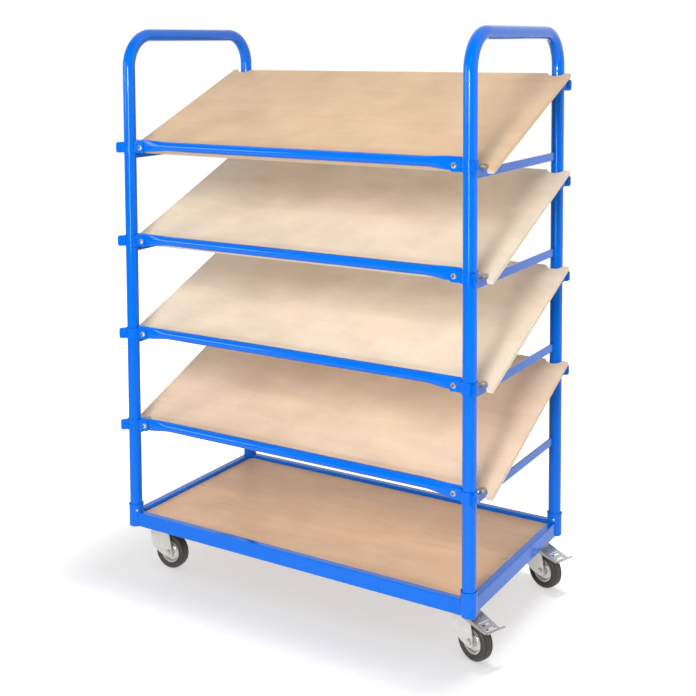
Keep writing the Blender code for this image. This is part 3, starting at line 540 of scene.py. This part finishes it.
frame_coat = powder_coat("end_frame_powder_coat", coat_blue)
tube_r = 0.0175
handle_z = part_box("left_end_frame")[1].z - tube_r
bend_r = 0.092
shoulder = handle_z - bend_r
foot = under + 0.0045
for word, side in (("left", -1), ("right", 1)):
    bm = bmesh.new()
    x = side * half_x
    made = bmesh.ops.create_circle(
        bm, segments=40, radius=tube_r, matrix=Matrix.Translation((x, -half_y, foot))
    )
    ring = list({edge for vert in made["verts"] for edge in vert.link_edges})
    ring = pull(bm, ring, (0, 0, shoulder - foot))
    ring = bend(bm, ring, (x, -half_y + bend_r, shoulder))
    ring = pull(bm, ring, (0, 2 * (half_y - bend_r), 0))
    ring = bend(bm, ring, (x, half_y - bend_r, shoulder))
    pull(bm, ring, (0, 0, foot - shoulder))
    bmesh.ops.remove_doubles(bm, verts=bm.verts, dist=0.00001)
    bmesh.ops.holes_fill(bm, edges=[edge for edge in bm.edges if edge.is_boundary])
    piece = add_piece(f"{word}_end_frame_coated", bm, [frame_coat], crease=60)
    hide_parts(f"{word}_end_frame")

# Crossbars: flat steel bar on edge, welded level between the front and rear leg and coated.
# A plated domed stop on its top edge sits in the board's front notch and keeps the board there.
bar_coat = powder_coat("crossbar_powder_coat", coat_blue)
bar_thick = 0.006
bar_high = 0.022
strap_high = 0.030
stop_r = 0.0075
stop_high = 0.0075
stop_y = -half_y + 0.062
stop_out = 0.004
level_up = 0.0114
tongue_long = 0.0055
tongue_lap = 0.0010
tongue_in = 0.0001
dome = [
    (0.0, stop_high),
    (0.0024, stop_high - 0.0003),
    (0.0046, stop_high - 0.0014),
    (0.0064, stop_high - 0.0033),
    (stop_r, stop_high - 0.0058),
    (stop_r, 0.0),
    (0.0, 0.0),
]
stop_zinc = zinc_plate("stop_zinc", (0.72, 0.70, 0.66), 0.30, 0.45)
for number in range(1, 5):
    for word, side in (("left", -1), ("right", 1)):
        node = f"{word}_crossbar_{number}"
        low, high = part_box(node)
        x = side * half_x
        bar_top = low.z + bar_high
        level = bar_top + level_up
        tongue_end = low.y + tongue_long + tongue_lap
        bm = bmesh.new()
        add_block(
            bm,
            (x - bar_thick / 2, low.y + tongue_long, low.z),
            (x + bar_thick / 2, high.y, bar_top),
            0.0007,
            2,
        )
        add_block(
            bm,
            (x - bar_thick / 2 + tongue_in, low.y, low.z + tongue_in),
            (x + bar_thick / 2 - tongue_in, tongue_end, level - strap_high / 2 - 0.0005),
            0.0006,
            2,
        )
        piece = add_piece(f"{node}_coated", bm, [bar_coat])
        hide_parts(node)
        bm = bmesh.new()
        add_turning(bm, dome, Matrix.Translation((x + side * stop_out, stop_y, bar_top)), steps=28)
        piece = add_piece(f"{node}_stop", bm, [stop_zinc], crease=50)

# Lip rails and carrying rails: round tube across the cart at each level, the ends pressed flat
# against the outer side and drilled, gripped between the two straps of the clamps.
rail_coat = powder_coat("rail_powder_coat", coat_blue)
rail_r = 0.0135
flat_thick = 0.004
flat_high = 0.034
press_long = 0.070
press_count = 8
squareness = 2.6
ear = 0.052
ear_gap = 0.003
flat_from = half_x - ear - ear_gap
for number in range(1, 5):
    for word, facing in (("front", -1), ("rear", 1)):
        node = f"{word}_rail_{number}"
        low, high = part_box(node)
        end_x = high.x - mid_x
        axis_z = (low.z + high.z) / 2
        outer_y = facing * (half_y + flat_thick / 2)
        axis_y = outer_y - facing * rail_r
        bm = bmesh.new()
        stand = Matrix.Translation((-end_x, axis_y, axis_z)) @ Matrix.Rotation(math.pi / 2, 4, "Y")
        made = bmesh.ops.create_circle(bm, segments=36, radius=rail_r, matrix=stand)
        ring = list({edge for vert in made["verts"] for edge in vert.link_edges})
        press_steps = [press_long * step / press_count for step in range(1, press_count + 1)]
        stations = [-flat_from] + [-flat_from + step for step in press_steps]
        stations += [-x for x in reversed(stations)] + [end_x]
        at = -end_x
        for station in stations:
            ring = pull(bm, ring, (station - at, 0, 0))
            at = station
        for vert in bm.verts:
            along = min(max((abs(vert.co.x) - flat_from + press_long) / press_long, 0), 1)
            press = along * along * (3 - 2 * along)
            angle = math.atan2(vert.co.z - axis_z, vert.co.y - axis_y)
            across = max(-1, min(1, squareness * math.cos(angle)))
            flat_y = outer_y + flat_thick / 2 * (across - facing)
            flat_z = axis_z + flat_high / 2 * math.sin(angle)
            vert.co.y += (flat_y - vert.co.y) * press
            vert.co.z += (flat_z - vert.co.z) * press
        bmesh.ops.holes_fill(bm, edges=[edge for edge in bm.edges if edge.is_boundary])
        piece = add_piece(f"{node}_coated", bm, [rail_coat], crease=50)
        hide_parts(node)

# Strap clamps: two bent steel straps round a leg, coated blue. Their turned outer ears hook into
# each other, the inboard ears grip the rail's flat end, and one plated bolt draws the pair up.
strap_coat = powder_coat("strap_powder_coat", coat_blue)
strap_thick = 0.003
slack = 0.0003
touch = 0.00001
band_mid = tube_r + slack + strap_thick / 2
outer_ear = 0.040
outer_turn = math.radians(48)
bolt_at = 0.040
nut_r = 0.0075
face_in = flat_thick / 2 + slack + strap_thick
recess_turns = (0.6, 0.6 + math.pi / 2)
bolt_head = [
    (0.0, face_in + 0.0050),
    (0.0028, face_in + 0.0048),
    (0.0052, face_in + 0.0040),
    (0.0068, face_in + 0.0026),
    (0.0075, face_in + 0.0010),
    (0.0075, face_in),
    (0.0, face_in),
]
nut_washer = [(0, -face_in), (0.0074, -face_in), (0.0074, -face_in - 0.0009), (0, -face_in - 0.0009)]
bolt_zinc = zinc_plate("clamp_bolt_zinc", (0.80, 0.79, 0.76), 0.25, 0.42)
# A near-black finish for the bolts' cross recesses: painted shade, not a colour of the metal.
recess_painted_shade = zinc_plate("bolt_recess_shade", (0.05, 0.05, 0.05), 0.5, 0.7)


def place_new(bm, known, matrix):
    """Moves the vertices drawn since the known ones into place and gives them back."""
    fresh = [vert for vert in bm.verts if vert not in known]
    bmesh.ops.transform(bm, matrix=matrix, verts=fresh)
    return fresh


def add_strap(bm, place, sign):
    """One strap as a sheet: inboard ear, band and turned ear, the ears' corners rounded."""
    gap_in = flat_thick / 2 + slack + strap_thick / 2
    gap_out = slack + strap_thick / 2
    known = set(bm.verts)
    start = sign * (math.pi - math.asin(gap_in / band_mid))
    end = -outer_turn + sign * math.asin(gap_out / band_mid)
    floor_z = -strap_high / 2
    ear_in = bm.verts.new((-ear, sign * gap_in, floor_z))
    root_in = bm.verts.new((band_mid * math.cos(start), band_mid * math.sin(start), floor_z))
    bm.edges.new((ear_in, root_in))
    bmesh.ops.spin(bm, geom=[root_in], cent=(0, 0, floor_z), axis=(0, 0, 1), angle=end - start, steps=24)
    tip = Vector((outer_ear * math.cos(outer_turn), -outer_ear * math.sin(outer_turn), floor_z))
    tip += Vector((math.sin(outer_turn), math.cos(outer_turn), 0)) * sign * gap_out
    band_end = Vector((band_mid * math.cos(end), band_mid * math.sin(end), floor_z))
    drawn = [vert for vert in bm.verts if vert not in known]
    root_out = min(drawn, key=lambda vert: (vert.co - band_end).length)
    ear_out = bm.verts.new(tip)
    bm.edges.new((root_out, ear_out))
    wire = list({edge for vert in bm.verts if vert not in known for edge in vert.link_edges})
    grown = bmesh.ops.extrude_edge_only(bm, edges=wire)["geom"]
    bmesh.ops.translate(bm, vec=(0, 0, strap_high), verts=only_verts(grown))
    bends = []
    tips = []
    for vert in bm.verts:
        if vert in known:
            continue
        if min((vert.co.xy - ear_in.co.xy).length, (vert.co.xy - tip.xy).length) < touch:
            tips.append(vert)
    for edge in bm.edges:
        if edge.verts[0] in known:
            continue
        rise = abs(edge.verts[0].co.z - edge.verts[1].co.z)
        at = edge.verts[0].co.xy
        off = min((at - root_in.co.xy).length, (at - band_end.xy).length)
        if rise > 0.9 * strap_high and off < touch:
            bends.append(edge)
    bmesh.ops.bevel(bm, geom=bends, offset=0.0024, segments=4, profile=0.5, affect="EDGES", material=-1)
    tips = [vert for vert in tips if vert.is_valid]
    bmesh.ops.bevel(bm, geom=tips, offset=0.0065, segments=5, profile=0.5, affect="VERTICES", material=-1)
    place_new(bm, known, place)


def add_hexagon(bm, radius, z0, z1, matrix):
    """A hexagon nut or head with its outer corners turned off."""
    made = bmesh.ops.create_cone(
        bm,
        cap_ends=True,
        segments=6,
        radius1=radius,
        radius2=radius,
        depth=z1 - z0,
        matrix=matrix @ Matrix.Translation((0, 0, (z0 + z1) / 2)),
    )
    edges = list({edge for vert in made["verts"] for edge in vert.link_edges})
    bmesh.ops.bevel(bm, geom=edges, offset=0.0006, segments=2, profile=0.5, affect="EDGES", material=-1)


for number in range(1, 5):
    for corner, (sx, sy) in corners.items():
        node = f"{corner}_clamp_{number}"
        low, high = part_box(node)
        centre = Vector((sx * half_x, sy * half_y, (low.z + high.z) / 2))
        place = Matrix.Translation(centre) @ Matrix.Diagonal((sx, -sy, 1, 1))
        bm = bmesh.new()
        add_strap(bm, place, -1)
        add_strap(bm, place, 1)
        piece = add_piece(f"{node}_straps", bm, [strap_coat])
        piece.modifiers.clear()
        wall = piece.modifiers.new("sheet", "SOLIDIFY")
        wall.thickness = strap_thick
        wall.offset = 0.0
        soft = piece.modifiers.new("edges", "BEVEL")
        soft.width = 0.0005
        soft.segments = 2
        soft.limit_method = "ANGLE"
        soft.harden_normals = True
        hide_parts(node)
        bm = bmesh.new()
        add_block(bm, (0.028, -0.0020, -0.007), (0.034, 0.0058, 0.007), 0.0008, 2)
        bmesh.ops.transform(bm, matrix=place @ Matrix.Rotation(-outer_turn, 4, "Z"), verts=bm.verts)
        hook = add_piece(f"{node}_hook", bm, [strap_coat])
        bm = bmesh.new()
        shades = bmesh.new()
        look = Matrix.Rotation(math.pi / 2 * (1 if sy < 0 else -1), 4, "X")
        inboard = Matrix.Translation((centre.x - sx * bolt_at, centre.y, centre.z)) @ look
        add_turning(bm, bolt_head, inboard, steps=28)
        add_hexagon(bm, nut_r, -face_in - 0.0065, -face_in, inboard)
        add_turning(bm, nut_washer, inboard, 24)
        add_turning(bm, [(0.004, -face_in), (0.004, face_in)], inboard, 16)
        # Two crossed dark bars just under each bolt head's dome give painted shade where its cross recess is.
        for turn in recess_turns:
            known = set(shades.verts)
            add_block(shades, (-0.0046, -0.0012, face_in + 0.0034), (0.0046, 0.0012, face_in + 0.00498))
            place_new(shades, known, inboard @ Matrix.Rotation(turn, 4, "Z"))
        bolts = add_piece(f"{node}_bolts", bm, [bolt_zinc])
        recess_shade_bars = add_piece(f"{node}_bolt_recess", shades, [recess_painted_shade])

# Shelf boards: twelve millimetre birch plywood, lying on the crossbars at the front and on the
# carrying rail at the rear, with notches for the stops in front and for the rear legs behind.
board_tones = {
    1: (0.715, 0.570, 0.440),
    2: (0.770, 0.670, 0.545),
    3: (0.760, 0.675, 0.545),
    4: (0.685, 0.490, 0.315),
}
edge_deep = (0.52, 0.37, 0.23)
pale_share = 1.06
deep_share = (0.95, 0.88, 0.81)
board_depth = 0.550
board_thick = 0.012
leg_room = 0.0075
slot_r = 0.019
slot_deep = 0.0283
for number in range(1, 5):
    node = f"shelf_board_{number}"
    low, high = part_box(node)
    rise = high.z - low.z
    run = high.y - low.y
    tilt = math.asin((rise - board_thick * run / math.hypot(rise, run)) / board_depth)
    for _ in range(6):
        tilt = math.asin((rise - board_thick * math.cos(tilt)) / board_depth)
    front_y = low.y + board_thick * math.sin(tilt)
    front_z = low.z
    half = high.x - mid_x
    notch = tube_r / math.cos(tilt) + leg_room
    axis_v = (half_y - front_y + board_thick / 2 * math.sin(tilt)) / math.cos(tilt)
    gap = board_depth - axis_v
    reach = math.sqrt(notch**2 - gap**2)
    bm = bmesh.new()
    outline = [bm.verts.new((-half, 0, 0))]
    for side in (-1, 1):
        mid = side * (half_x + stop_out)
        start = bm.verts.new((mid - slot_r, slot_deep - slot_r, 0))
        known = set(bm.verts)
        bmesh.ops.spin(
            bm, geom=[start], cent=(mid, slot_deep - slot_r, 0), axis=(0, 0, 1), angle=-math.pi, steps=16
        )
        arc = sorted((vert for vert in bm.verts if vert not in known), key=lambda vert: vert.co.x)
        outline += [bm.verts.new((mid - slot_r, 0, 0)), start, *arc, bm.verts.new((mid + slot_r, 0, 0))]
    outline += [bm.verts.new((half, 0, 0)), bm.verts.new((half, board_depth, 0))]
    for side in (1, -1):
        centre = Vector((side * half_x, axis_v, 0))
        start = bm.verts.new((side * half_x + reach, board_depth, 0))
        angle = math.atan2(gap, reach)
        known = set(bm.verts)
        bmesh.ops.spin(
            bm, geom=[start], cent=centre, axis=(0, 0, 1), angle=-(math.pi + 2 * angle), steps=18
        )
        ways = {}
        for vert in bm.verts:
            if vert not in known:
                way = math.atan2(vert.co.y - axis_v, vert.co.x - centre.x)
                ways[vert] = (way - angle - 0.001) % math.tau
        outline += [start] + sorted(ways, key=lambda vert: -ways[vert])
    outline.append(bm.verts.new((-half, board_depth, 0)))
    for edge in list(bm.edges):
        bm.edges.remove(edge)
    face = bm.faces.new(outline)
    lifted = bmesh.ops.extrude_face_region(bm, geom=[face])
    bmesh.ops.translate(bm, vec=(0, 0, board_thick), verts=only_verts(lifted["geom"]))
    rims = [edge for edge in bm.edges if abs(edge.verts[0].co.z - edge.verts[1].co.z) < 0.0001]
    bmesh.ops.bevel(bm, geom=rims, offset=0.0009, segments=2, profile=0.5, affect="EDGES", material=-1)
    bm.normal_update()
    for face in bm.faces:
        face.material_index = 0 if abs(face.normal.z) > 0.9 else 1
    lay = Matrix.Translation((0, front_y, front_z)) @ Matrix.Rotation(tilt, 4, "X")
    bmesh.ops.transform(bm, matrix=lay, verts=bm.verts)
    back = lay.inverted()
    turn = back.to_euler()
    shift = back.to_translation()
    board_pale = [part * pale_share for part in board_tones[number]]
    board_deep = [part * share for part, share in zip(board_tones[number], deep_share)]
    piece = add_piece(
        f"{node}_ply",
        bm,
        [
            birch_face(f"shelf_{number}_birch_face", board_pale, board_deep, turn, shift, 5.3 * number),
            birch_edge(f"shelf_{number}_birch_edge", board_pale, edge_deep, turn, shift, board_thick),
        ],
    )
    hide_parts(node)

# Castor plates: a square pressed plate under each corner plate with the upper ball race, the
# kingpin and its nut, all zinc plated, held up by four hexagon screws.
plate_zinc = zinc_plate("castor_plate_zinc", (0.74, 0.73, 0.70), 0.28, 0.45)
kingpins = {
    "front_left": (-0.488, -0.220, 1.5),
    "front_right": (0.488, -0.220, -21.0),
    "rear_left": (-0.488, 0.236, -12.0),
    "rear_right": (0.488, 0.236, -19.0),
}
plate_half = 0.042
plate_thick = 0.004
race_r = 0.026
race_high = 0.005
screw_at = 0.0315
web_top = 0.1091
pin_seat = web_top - 0.0036
for corner, (x, y, _heading) in kingpins.items():
    node = f"{corner}_castor_plate"
    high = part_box(node)[1]
    under_plate = high.z - plate_thick
    pin = Matrix.Translation((x, y, 0))
    bm = bmesh.new()
    add_block(bm, (-plate_half, -plate_half, under_plate), (plate_half, plate_half, high.z))
    ends = [(edge, *edge.verts) for edge in bm.edges]
    uprights = [edge for edge, a, b in ends if abs(a.co.z - b.co.z) > plate_thick / 2]
    bmesh.ops.bevel(bm, geom=uprights, offset=0.007, segments=5, profile=0.5, affect="EDGES", material=-1)
    rims = [edge for edge in bm.edges if edge.calc_face_angle(0) > 1.2]
    bmesh.ops.bevel(bm, geom=rims, offset=0.0006, segments=2, profile=0.5, affect="EDGES", material=-1)
    bmesh.ops.transform(bm, matrix=pin, verts=bm.verts)
    race = [(0.0, under_plate), (race_r + 0.003, under_plate), (race_r + 0.0005, under_plate - 0.0012)]
    race += [(race_r, under_plate - 0.0025), (race_r, under_plate - race_high + 0.0006)]
    race += [(race_r - 0.0006, under_plate - race_high), (0.0, under_plate - race_high)]
    add_turning(bm, race, pin, 48)
    add_turning(bm, [(0.006, pin_seat - 0.0025), (0.006, under_plate)], pin, 20)
    add_hexagon(bm, 0.011, pin_seat - 0.005, pin_seat, pin)
    for sx in (-1, 1):
        for sy in (-1, 1):
            screw = pin @ Matrix.Translation((sx * screw_at, sy * screw_at, under_plate))
            add_hexagon(bm, 0.0062, -0.0048, -0.0008, screw)
            add_turning(bm, [(0, 0), (0.0075, 0), (0.0075, -0.0010), (0, -0.0010)], screw, 24)
    piece = add_piece(f"{node}_pressed", bm, [plate_zinc])
    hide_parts(node)

# Castor forks: one zinc-plated pressing each, a ball-race head on a web, a round front and two
# cheeks that narrow to the axle, with a hexagon bolt and nut drawn up through the wheel.
fork_zinc = zinc_plate("castor_fork_zinc", (0.82, 0.80, 0.76), 0.30, 0.48)
axle_zinc = zinc_plate("axle_bolt_zinc", (0.70, 0.69, 0.66), 0.25, 0.42)
fork_sheet = 0.003
cheek_mid = 0.0205
cheek_out = 0.022
front_r = 0.028
trail = 0.040
axle_z = 0.050
boss_r = 0.013


def castor_stand(corner):
    """Where a castor's kingpin stands and which way the castor points."""
    x, y, heading = kingpins[corner]
    return Matrix.Translation((x, y, 0)) @ Matrix.Rotation(math.radians(heading), 4, "Z")


def castor_axle(corner):
    """Where a castor's axle lies, with Z along it."""
    slid = castor_stand(corner) @ Matrix.Translation((trail, 0, axle_z))
    return slid @ Matrix.Rotation(-math.pi / 2, 4, "X")


def add_plate(bm, outline, thick, rounding, matrix):
    """A flat sheet cut to an outline in X and Z, its free corners rounded, thick along Y."""
    known = set(bm.verts)
    verts = [bm.verts.new((x, -thick / 2, z)) for x, z, _round in outline]
    bm.faces.new(verts)
    for vert, (_x, _z, radius) in zip(verts, outline):
        if radius:
            bmesh.ops.bevel(
                bm, geom=[vert], offset=radius, segments=5, profile=0.5, affect="VERTICES", material=-1
            )
    face = next(item for item in bm.faces if not known.intersection(item.verts))
    grown = bmesh.ops.extrude_face_region(bm, geom=[face])["geom"]
    bmesh.ops.translate(bm, vec=(0, thick, 0), verts=only_verts(grown))
    rims = []
    for edge in bm.edges:
        if edge.verts[0] in known:
            continue
        if abs(edge.verts[0].co.y - edge.verts[1].co.y) < thick / 2:
            rims.append(edge)
    bmesh.ops.bevel(bm, geom=rims, offset=rounding, segments=2, profile=0.5, affect="EDGES", material=-1)
    place_new(bm, known, matrix)


cheek_outline = [(-0.022, web_top - 0.001, 0), (-0.022, 0.0796, 0.010)]
cheek_outline += [(-0.0132, 0.0583, 0.008), (0.0112, 0.0429, 0.010)]
for step in range(11):
    angle = math.radians(240 + 13.5 * step)
    cheek_outline.append((trail + boss_r * math.cos(angle), axle_z + boss_r * math.sin(angle), 0))
cheek_outline += [(0.0504, 0.0760, 0.008), (0.0460, 0.0961, 0.004), (0.0408, web_top - 0.001, 0)]
for corner in kingpins:
    node = f"{corner}_castor_fork"
    stand = castor_stand(corner)
    bm = bmesh.new()
    for side in (-1, 1):
        add_plate(bm, cheek_outline, fork_sheet, 0.0006, stand @ Matrix.Translation((0, side * cheek_mid, 0)))
    known = set(bm.verts)
    add_block(bm, (-0.022, -cheek_out, web_top - fork_sheet), (0.0308, cheek_out, web_top), 0.0014, 3)
    place_new(bm, known, stand)
    known = set(bm.verts)
    wall = [(front_r - fork_sheet, web_top - 0.040), (front_r - 0.0008, web_top - 0.040)]
    wall += [(front_r, web_top - 0.0392), (front_r, web_top - 0.001), (front_r - fork_sheet, web_top - 0.001)]
    half_turn = math.asin((cheek_mid + 0.0008) / front_r)
    verts = [bm.verts.new((radius, 0, height)) for radius, height in wall]
    edges = [bm.edges.new(pair) for pair in zip(verts, verts[1:] + verts[:1])]
    start = Matrix.Rotation(math.pi - half_turn, 4, "Z")
    bmesh.ops.transform(bm, matrix=start, verts=verts)
    bmesh.ops.spin(bm, geom=verts + edges, cent=(0, 0, 0), axis=(0, 0, 1), angle=2 * half_turn, steps=24)
    place_new(bm, known, stand)
    head = [(0.0068, web_top + 0.012), (0.0222, web_top + 0.012), (0.0238, web_top + 0.0114)]
    head += [(0.0262, web_top + 0.0050), (0.0276, web_top + 0.0010), (front_r, web_top - 0.0015)]
    head += [(front_r, web_top - 0.0022), (0.0068, web_top - 0.0022)]
    add_turning(bm, head, stand, 48, closed=True)
    piece = add_piece(f"{node}_pressed", bm, [fork_zinc], f"{corner}_castor", crease=35)
    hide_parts(node)
    bm = bmesh.new()
    axle = castor_axle(corner)
    add_turning(bm, [(0.005, -cheek_out), (0.005, cheek_out)], axle, 20)
    for side in (-1, 1):
        ends = sorted((side * (cheek_out + 0.0008), side * (cheek_out + 0.0040)))
        add_hexagon(bm, 0.0082, *ends, axle)
        washer = [(0, side * cheek_out), (0.0096, side * cheek_out), (0.0096, side * (cheek_out + 0.001))]
        add_turning(bm, washer + [(0, side * (cheek_out + 0.001))], axle, 28)
    bolt = add_piece(f"{corner}_axle_bolt", bm, [axle_zinc], f"{corner}_castor")

# Wheels: a pressed and plated rim with a hub that turns on the axle bolt, and a dark rubber tyre
# moulded on to it, with three fine grooves round its tread.
rim_zinc = zinc_plate("wheel_rim_zinc", (0.74, 0.73, 0.70), 0.28, 0.46)
rubber, nodes, links, shader = new_finish("tyre_rubber")
place = add_node(nodes, "TexCoord")
dust = add_node(nodes, "TexNoise", {"Scale": 90.0, "Detail": 5.0})
tone = add_node(nodes, "Mix", {6: (0.024, 0.019, 0.017, 1), 7: (0.060, 0.047, 0.042, 1)}, data_type="RGBA")
grip = add_node(nodes, "Bump", {"Strength": 0.15, "Distance": 0.0005})
join_nodes(
    links,
    (place, "Object", dust, "Vector"),
    (dust, "Fac", tone, 0),
    (tone, 2, shader, "Base Color"),
    (dust, "Fac", grip, "Height"),
    (grip, "Normal", shader, "Normal"),
)
shader.inputs["Roughness"].default_value = 0.55
rim_half = [(0.0056, 0.0170), (0.0110, 0.0170), (0.0126, 0.0162), (0.0134, 0.0142), (0.0142, 0.0100)]
rim_half += [(0.0152, 0.0072), (0.0166, 0.0062), (0.0238, 0.0062), (0.0254, 0.0072), (0.0268, 0.0100)]
rim_half += [(0.0286, 0.0126), (0.0300, 0.0131), (0.0313, 0.0128), (0.0317, 0.0118)]
tyre_half = [(0.0320, 0.0118), (0.0334, 0.0122), (0.0352, 0.0134), (0.0376, 0.0148), (0.0402, 0.0157)]
tyre_half += [(0.0428, 0.0160), (0.0452, 0.0154), (0.0474, 0.0140), (0.0488, 0.0122), (0.0494, 0.0104)]
tyre_half += [(0.0480, 0.0098), (0.0480, 0.0086), (0.0498, 0.0080), (0.0500, 0.0052), (0.0500, 0.0010)]
tyre_half += [(0.0486, 0.0005)]
for corner in kingpins:
    axle = castor_axle(corner)
    for kind, half, finish, slot in (
        ("rim", rim_half, rim_zinc, "zinc"),
        ("tyre", tyre_half, rubber, "tyre_rubber"),
    ):
        node = f"{corner}_wheel_{kind}"
        bm = bmesh.new()
        other_half = [(radius, -height) for radius, height in reversed(half)]
        add_turning(bm, half + other_half, axle, 72, closed=True)
        piece = add_piece(f"{node}_turned", bm, [finish], f"{corner}_wheel", crease=32)
        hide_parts(node)

# Brake pedals: a folded zinc-plated channel on a pin through each fork at the right, with two
# cross slots, a riveted brake shoe over the tyre and a narrow lip that sticks out on one side.
# The pedal is the same plated steel as the fork. Its body is given a much darker zinc as painted shade under
# the base, and its raised frame a bright zinc as painted light.
pedal_zinc_painted_shade = zinc_plate("brake_pedal_zinc", (0.46, 0.455, 0.44), 0.26, 0.40)
frame_zinc_painted_light = zinc_plate("brake_pedal_worn_zinc", (0.86, 0.85, 0.82), 0.24, 0.36)
pedal_sheet = 0.002
pedal_in = 0.0226
pedal_out = 0.0246
pedal_from = 0.0298
pedal_to = 0.100
pedal_tilt = math.radians(15)
slope = math.tan(pedal_tilt)
pivot_x = 0.034
pivot_z = web_top - 0.0046
slots = ((0.0741, 0.0791), (0.0897, 0.0947))
slot_half = 0.013
lip_droop = math.radians(4)
shoe_x = 0.052


def pedal_top(x):
    """Height of the pedal's tread at a distance behind the kingpin."""
    return web_top + 0.0028 - (x - 0.046) * slope


for corner in ("front_right", "rear_right"):
    node = f"{corner}_brake_pedal"
    stand = castor_stand(corner)
    bm = bmesh.new()
    cuts_x = [pedal_from, *slots[0], *slots[1], pedal_to]
    cuts_y = [-pedal_out, -slot_half, slot_half, pedal_out]
    bmesh.ops.create_grid(bm, x_segments=5, y_segments=3, size=1.0)
    for vert in bm.verts:
        column = round((vert.co.x + 1) / 2 * 5)
        row = round((vert.co.y + 1) / 2 * 3)
        vert.co = (cuts_x[column], cuts_y[row], pedal_top(cuts_x[column]) - pedal_sheet)
    open_faces = []
    for face in bm.faces:
        middle = face.calc_center_median()
        if abs(middle.y) < slot_half and any(start < middle.x < end for start, end in slots):
            open_faces.append(face)
    bmesh.ops.delete(bm, geom=open_faces, context="FACES_ONLY")
    grown = bmesh.ops.extrude_face_region(bm, geom=list(bm.faces))["geom"]
    bmesh.ops.translate(bm, vec=(0, 0, pedal_sheet), verts=only_verts(grown))
    bmesh.ops.recalc_face_normals(bm, faces=bm.faces)
    sharp = [edge for edge in bm.edges if edge.calc_face_angle(0) > 1.2]
    bmesh.ops.bevel(bm, geom=sharp, offset=0.0005, segments=2, profile=0.5, affect="EDGES", material=-1)
    bmesh.ops.transform(bm, matrix=stand, verts=bm.verts)
    flange = [(0.0255, pedal_top(pedal_from) - pedal_sheet, 0.002)]
    flange += [(pedal_from, pedal_top(pedal_from) - 0.0004, 0)]
    flange += [(pedal_to, pedal_top(pedal_to) - 0.0004, 0), (pedal_to, pedal_top(pedal_to) - 0.005, 0.002)]
    flange += [(0.037, 0.1015, 0.004), (0.031, 0.1015, 0.002), (0.0255, pivot_z, 0.002)]
    for side in (-1, 1):
        middle = side * (pedal_in + pedal_out) / 2
        add_plate(bm, flange, pedal_sheet, 0.0005, stand @ Matrix.Translation((0, middle, 0)))
    known = set(bm.verts)
    add_block(bm, (-pedal_sheet / 2, -pedal_in, -pedal_sheet), (0.006, pedal_out + 0.017, 0), 0.0007, 2)
    droop = Matrix.Translation((pedal_to, 0, pedal_top(pedal_to) - pedal_sheet / 4))
    place_new(bm, known, stand @ (droop @ Matrix.Rotation(lip_droop, 4, "Y")))
    # The raised frame round the slots takes the bright zinc: painted light beside the painted shade of the
    # pedal.
    known = set(bm.verts)
    for low, high in (
        ((0.0680, -0.0175), (0.0692, 0.0175)),
        ((0.0970, -0.0175), (0.0982, 0.0175)),
        ((0.0680, -0.0175), (0.0982, -0.0163)),
        ((0.0680, 0.0163), (0.0982, 0.0175)),
    ):
        add_block(bm, (*low, -0.0004), (*high, 0.0007), 0.0003, 1)
    fresh = [vert for vert in bm.verts if vert not in known]
    for face in {face for vert in fresh for face in vert.link_faces}:
        face.material_index = 1
    for vert in fresh:
        vert.co.z += pedal_top(vert.co.x)
    bmesh.ops.transform(bm, matrix=stand, verts=fresh)
    known = set(bm.verts)
    add_block(bm, (0.0485, -0.0112, 0.1028), (0.0555, 0.0112, pedal_top(shoe_x) - 0.001), 0.0006, 2)
    place_new(bm, known, stand)
    rivet = stand @ Matrix.Translation((shoe_x, 0, pedal_top(shoe_x))) @ Matrix.Rotation(pedal_tilt, 4, "Y")
    rivet_head = [(0, 0.0012), (0.0014, 0.0010), (0.0026, 0.0003), (0.0028, -0.0004), (0, -0.0004)]
    add_turning(bm, rivet_head, rivet, 20)
    pin = stand @ Matrix.Translation((pivot_x, 0, pivot_z)) @ Matrix.Rotation(-math.pi / 2, 4, "X")
    add_turning(bm, [(0, -pedal_in), (0.002, -pedal_in), (0.002, pedal_in), (0, pedal_in)], pin, 16)
    for side in (-1, 1):
        knob = [(0, side * (pedal_out + 0.0010)), (0.0022, side * (pedal_out + 0.0006))]
        knob += [(0.0028, side * pedal_out), (0, side * pedal_out)]
        add_turning(bm, knob, pin, 20)
    piece = add_piece(f"{node}_folded", bm, [pedal_zinc_painted_shade, frame_zinc_painted_light], f"{corner}_pedal")
    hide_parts(node)
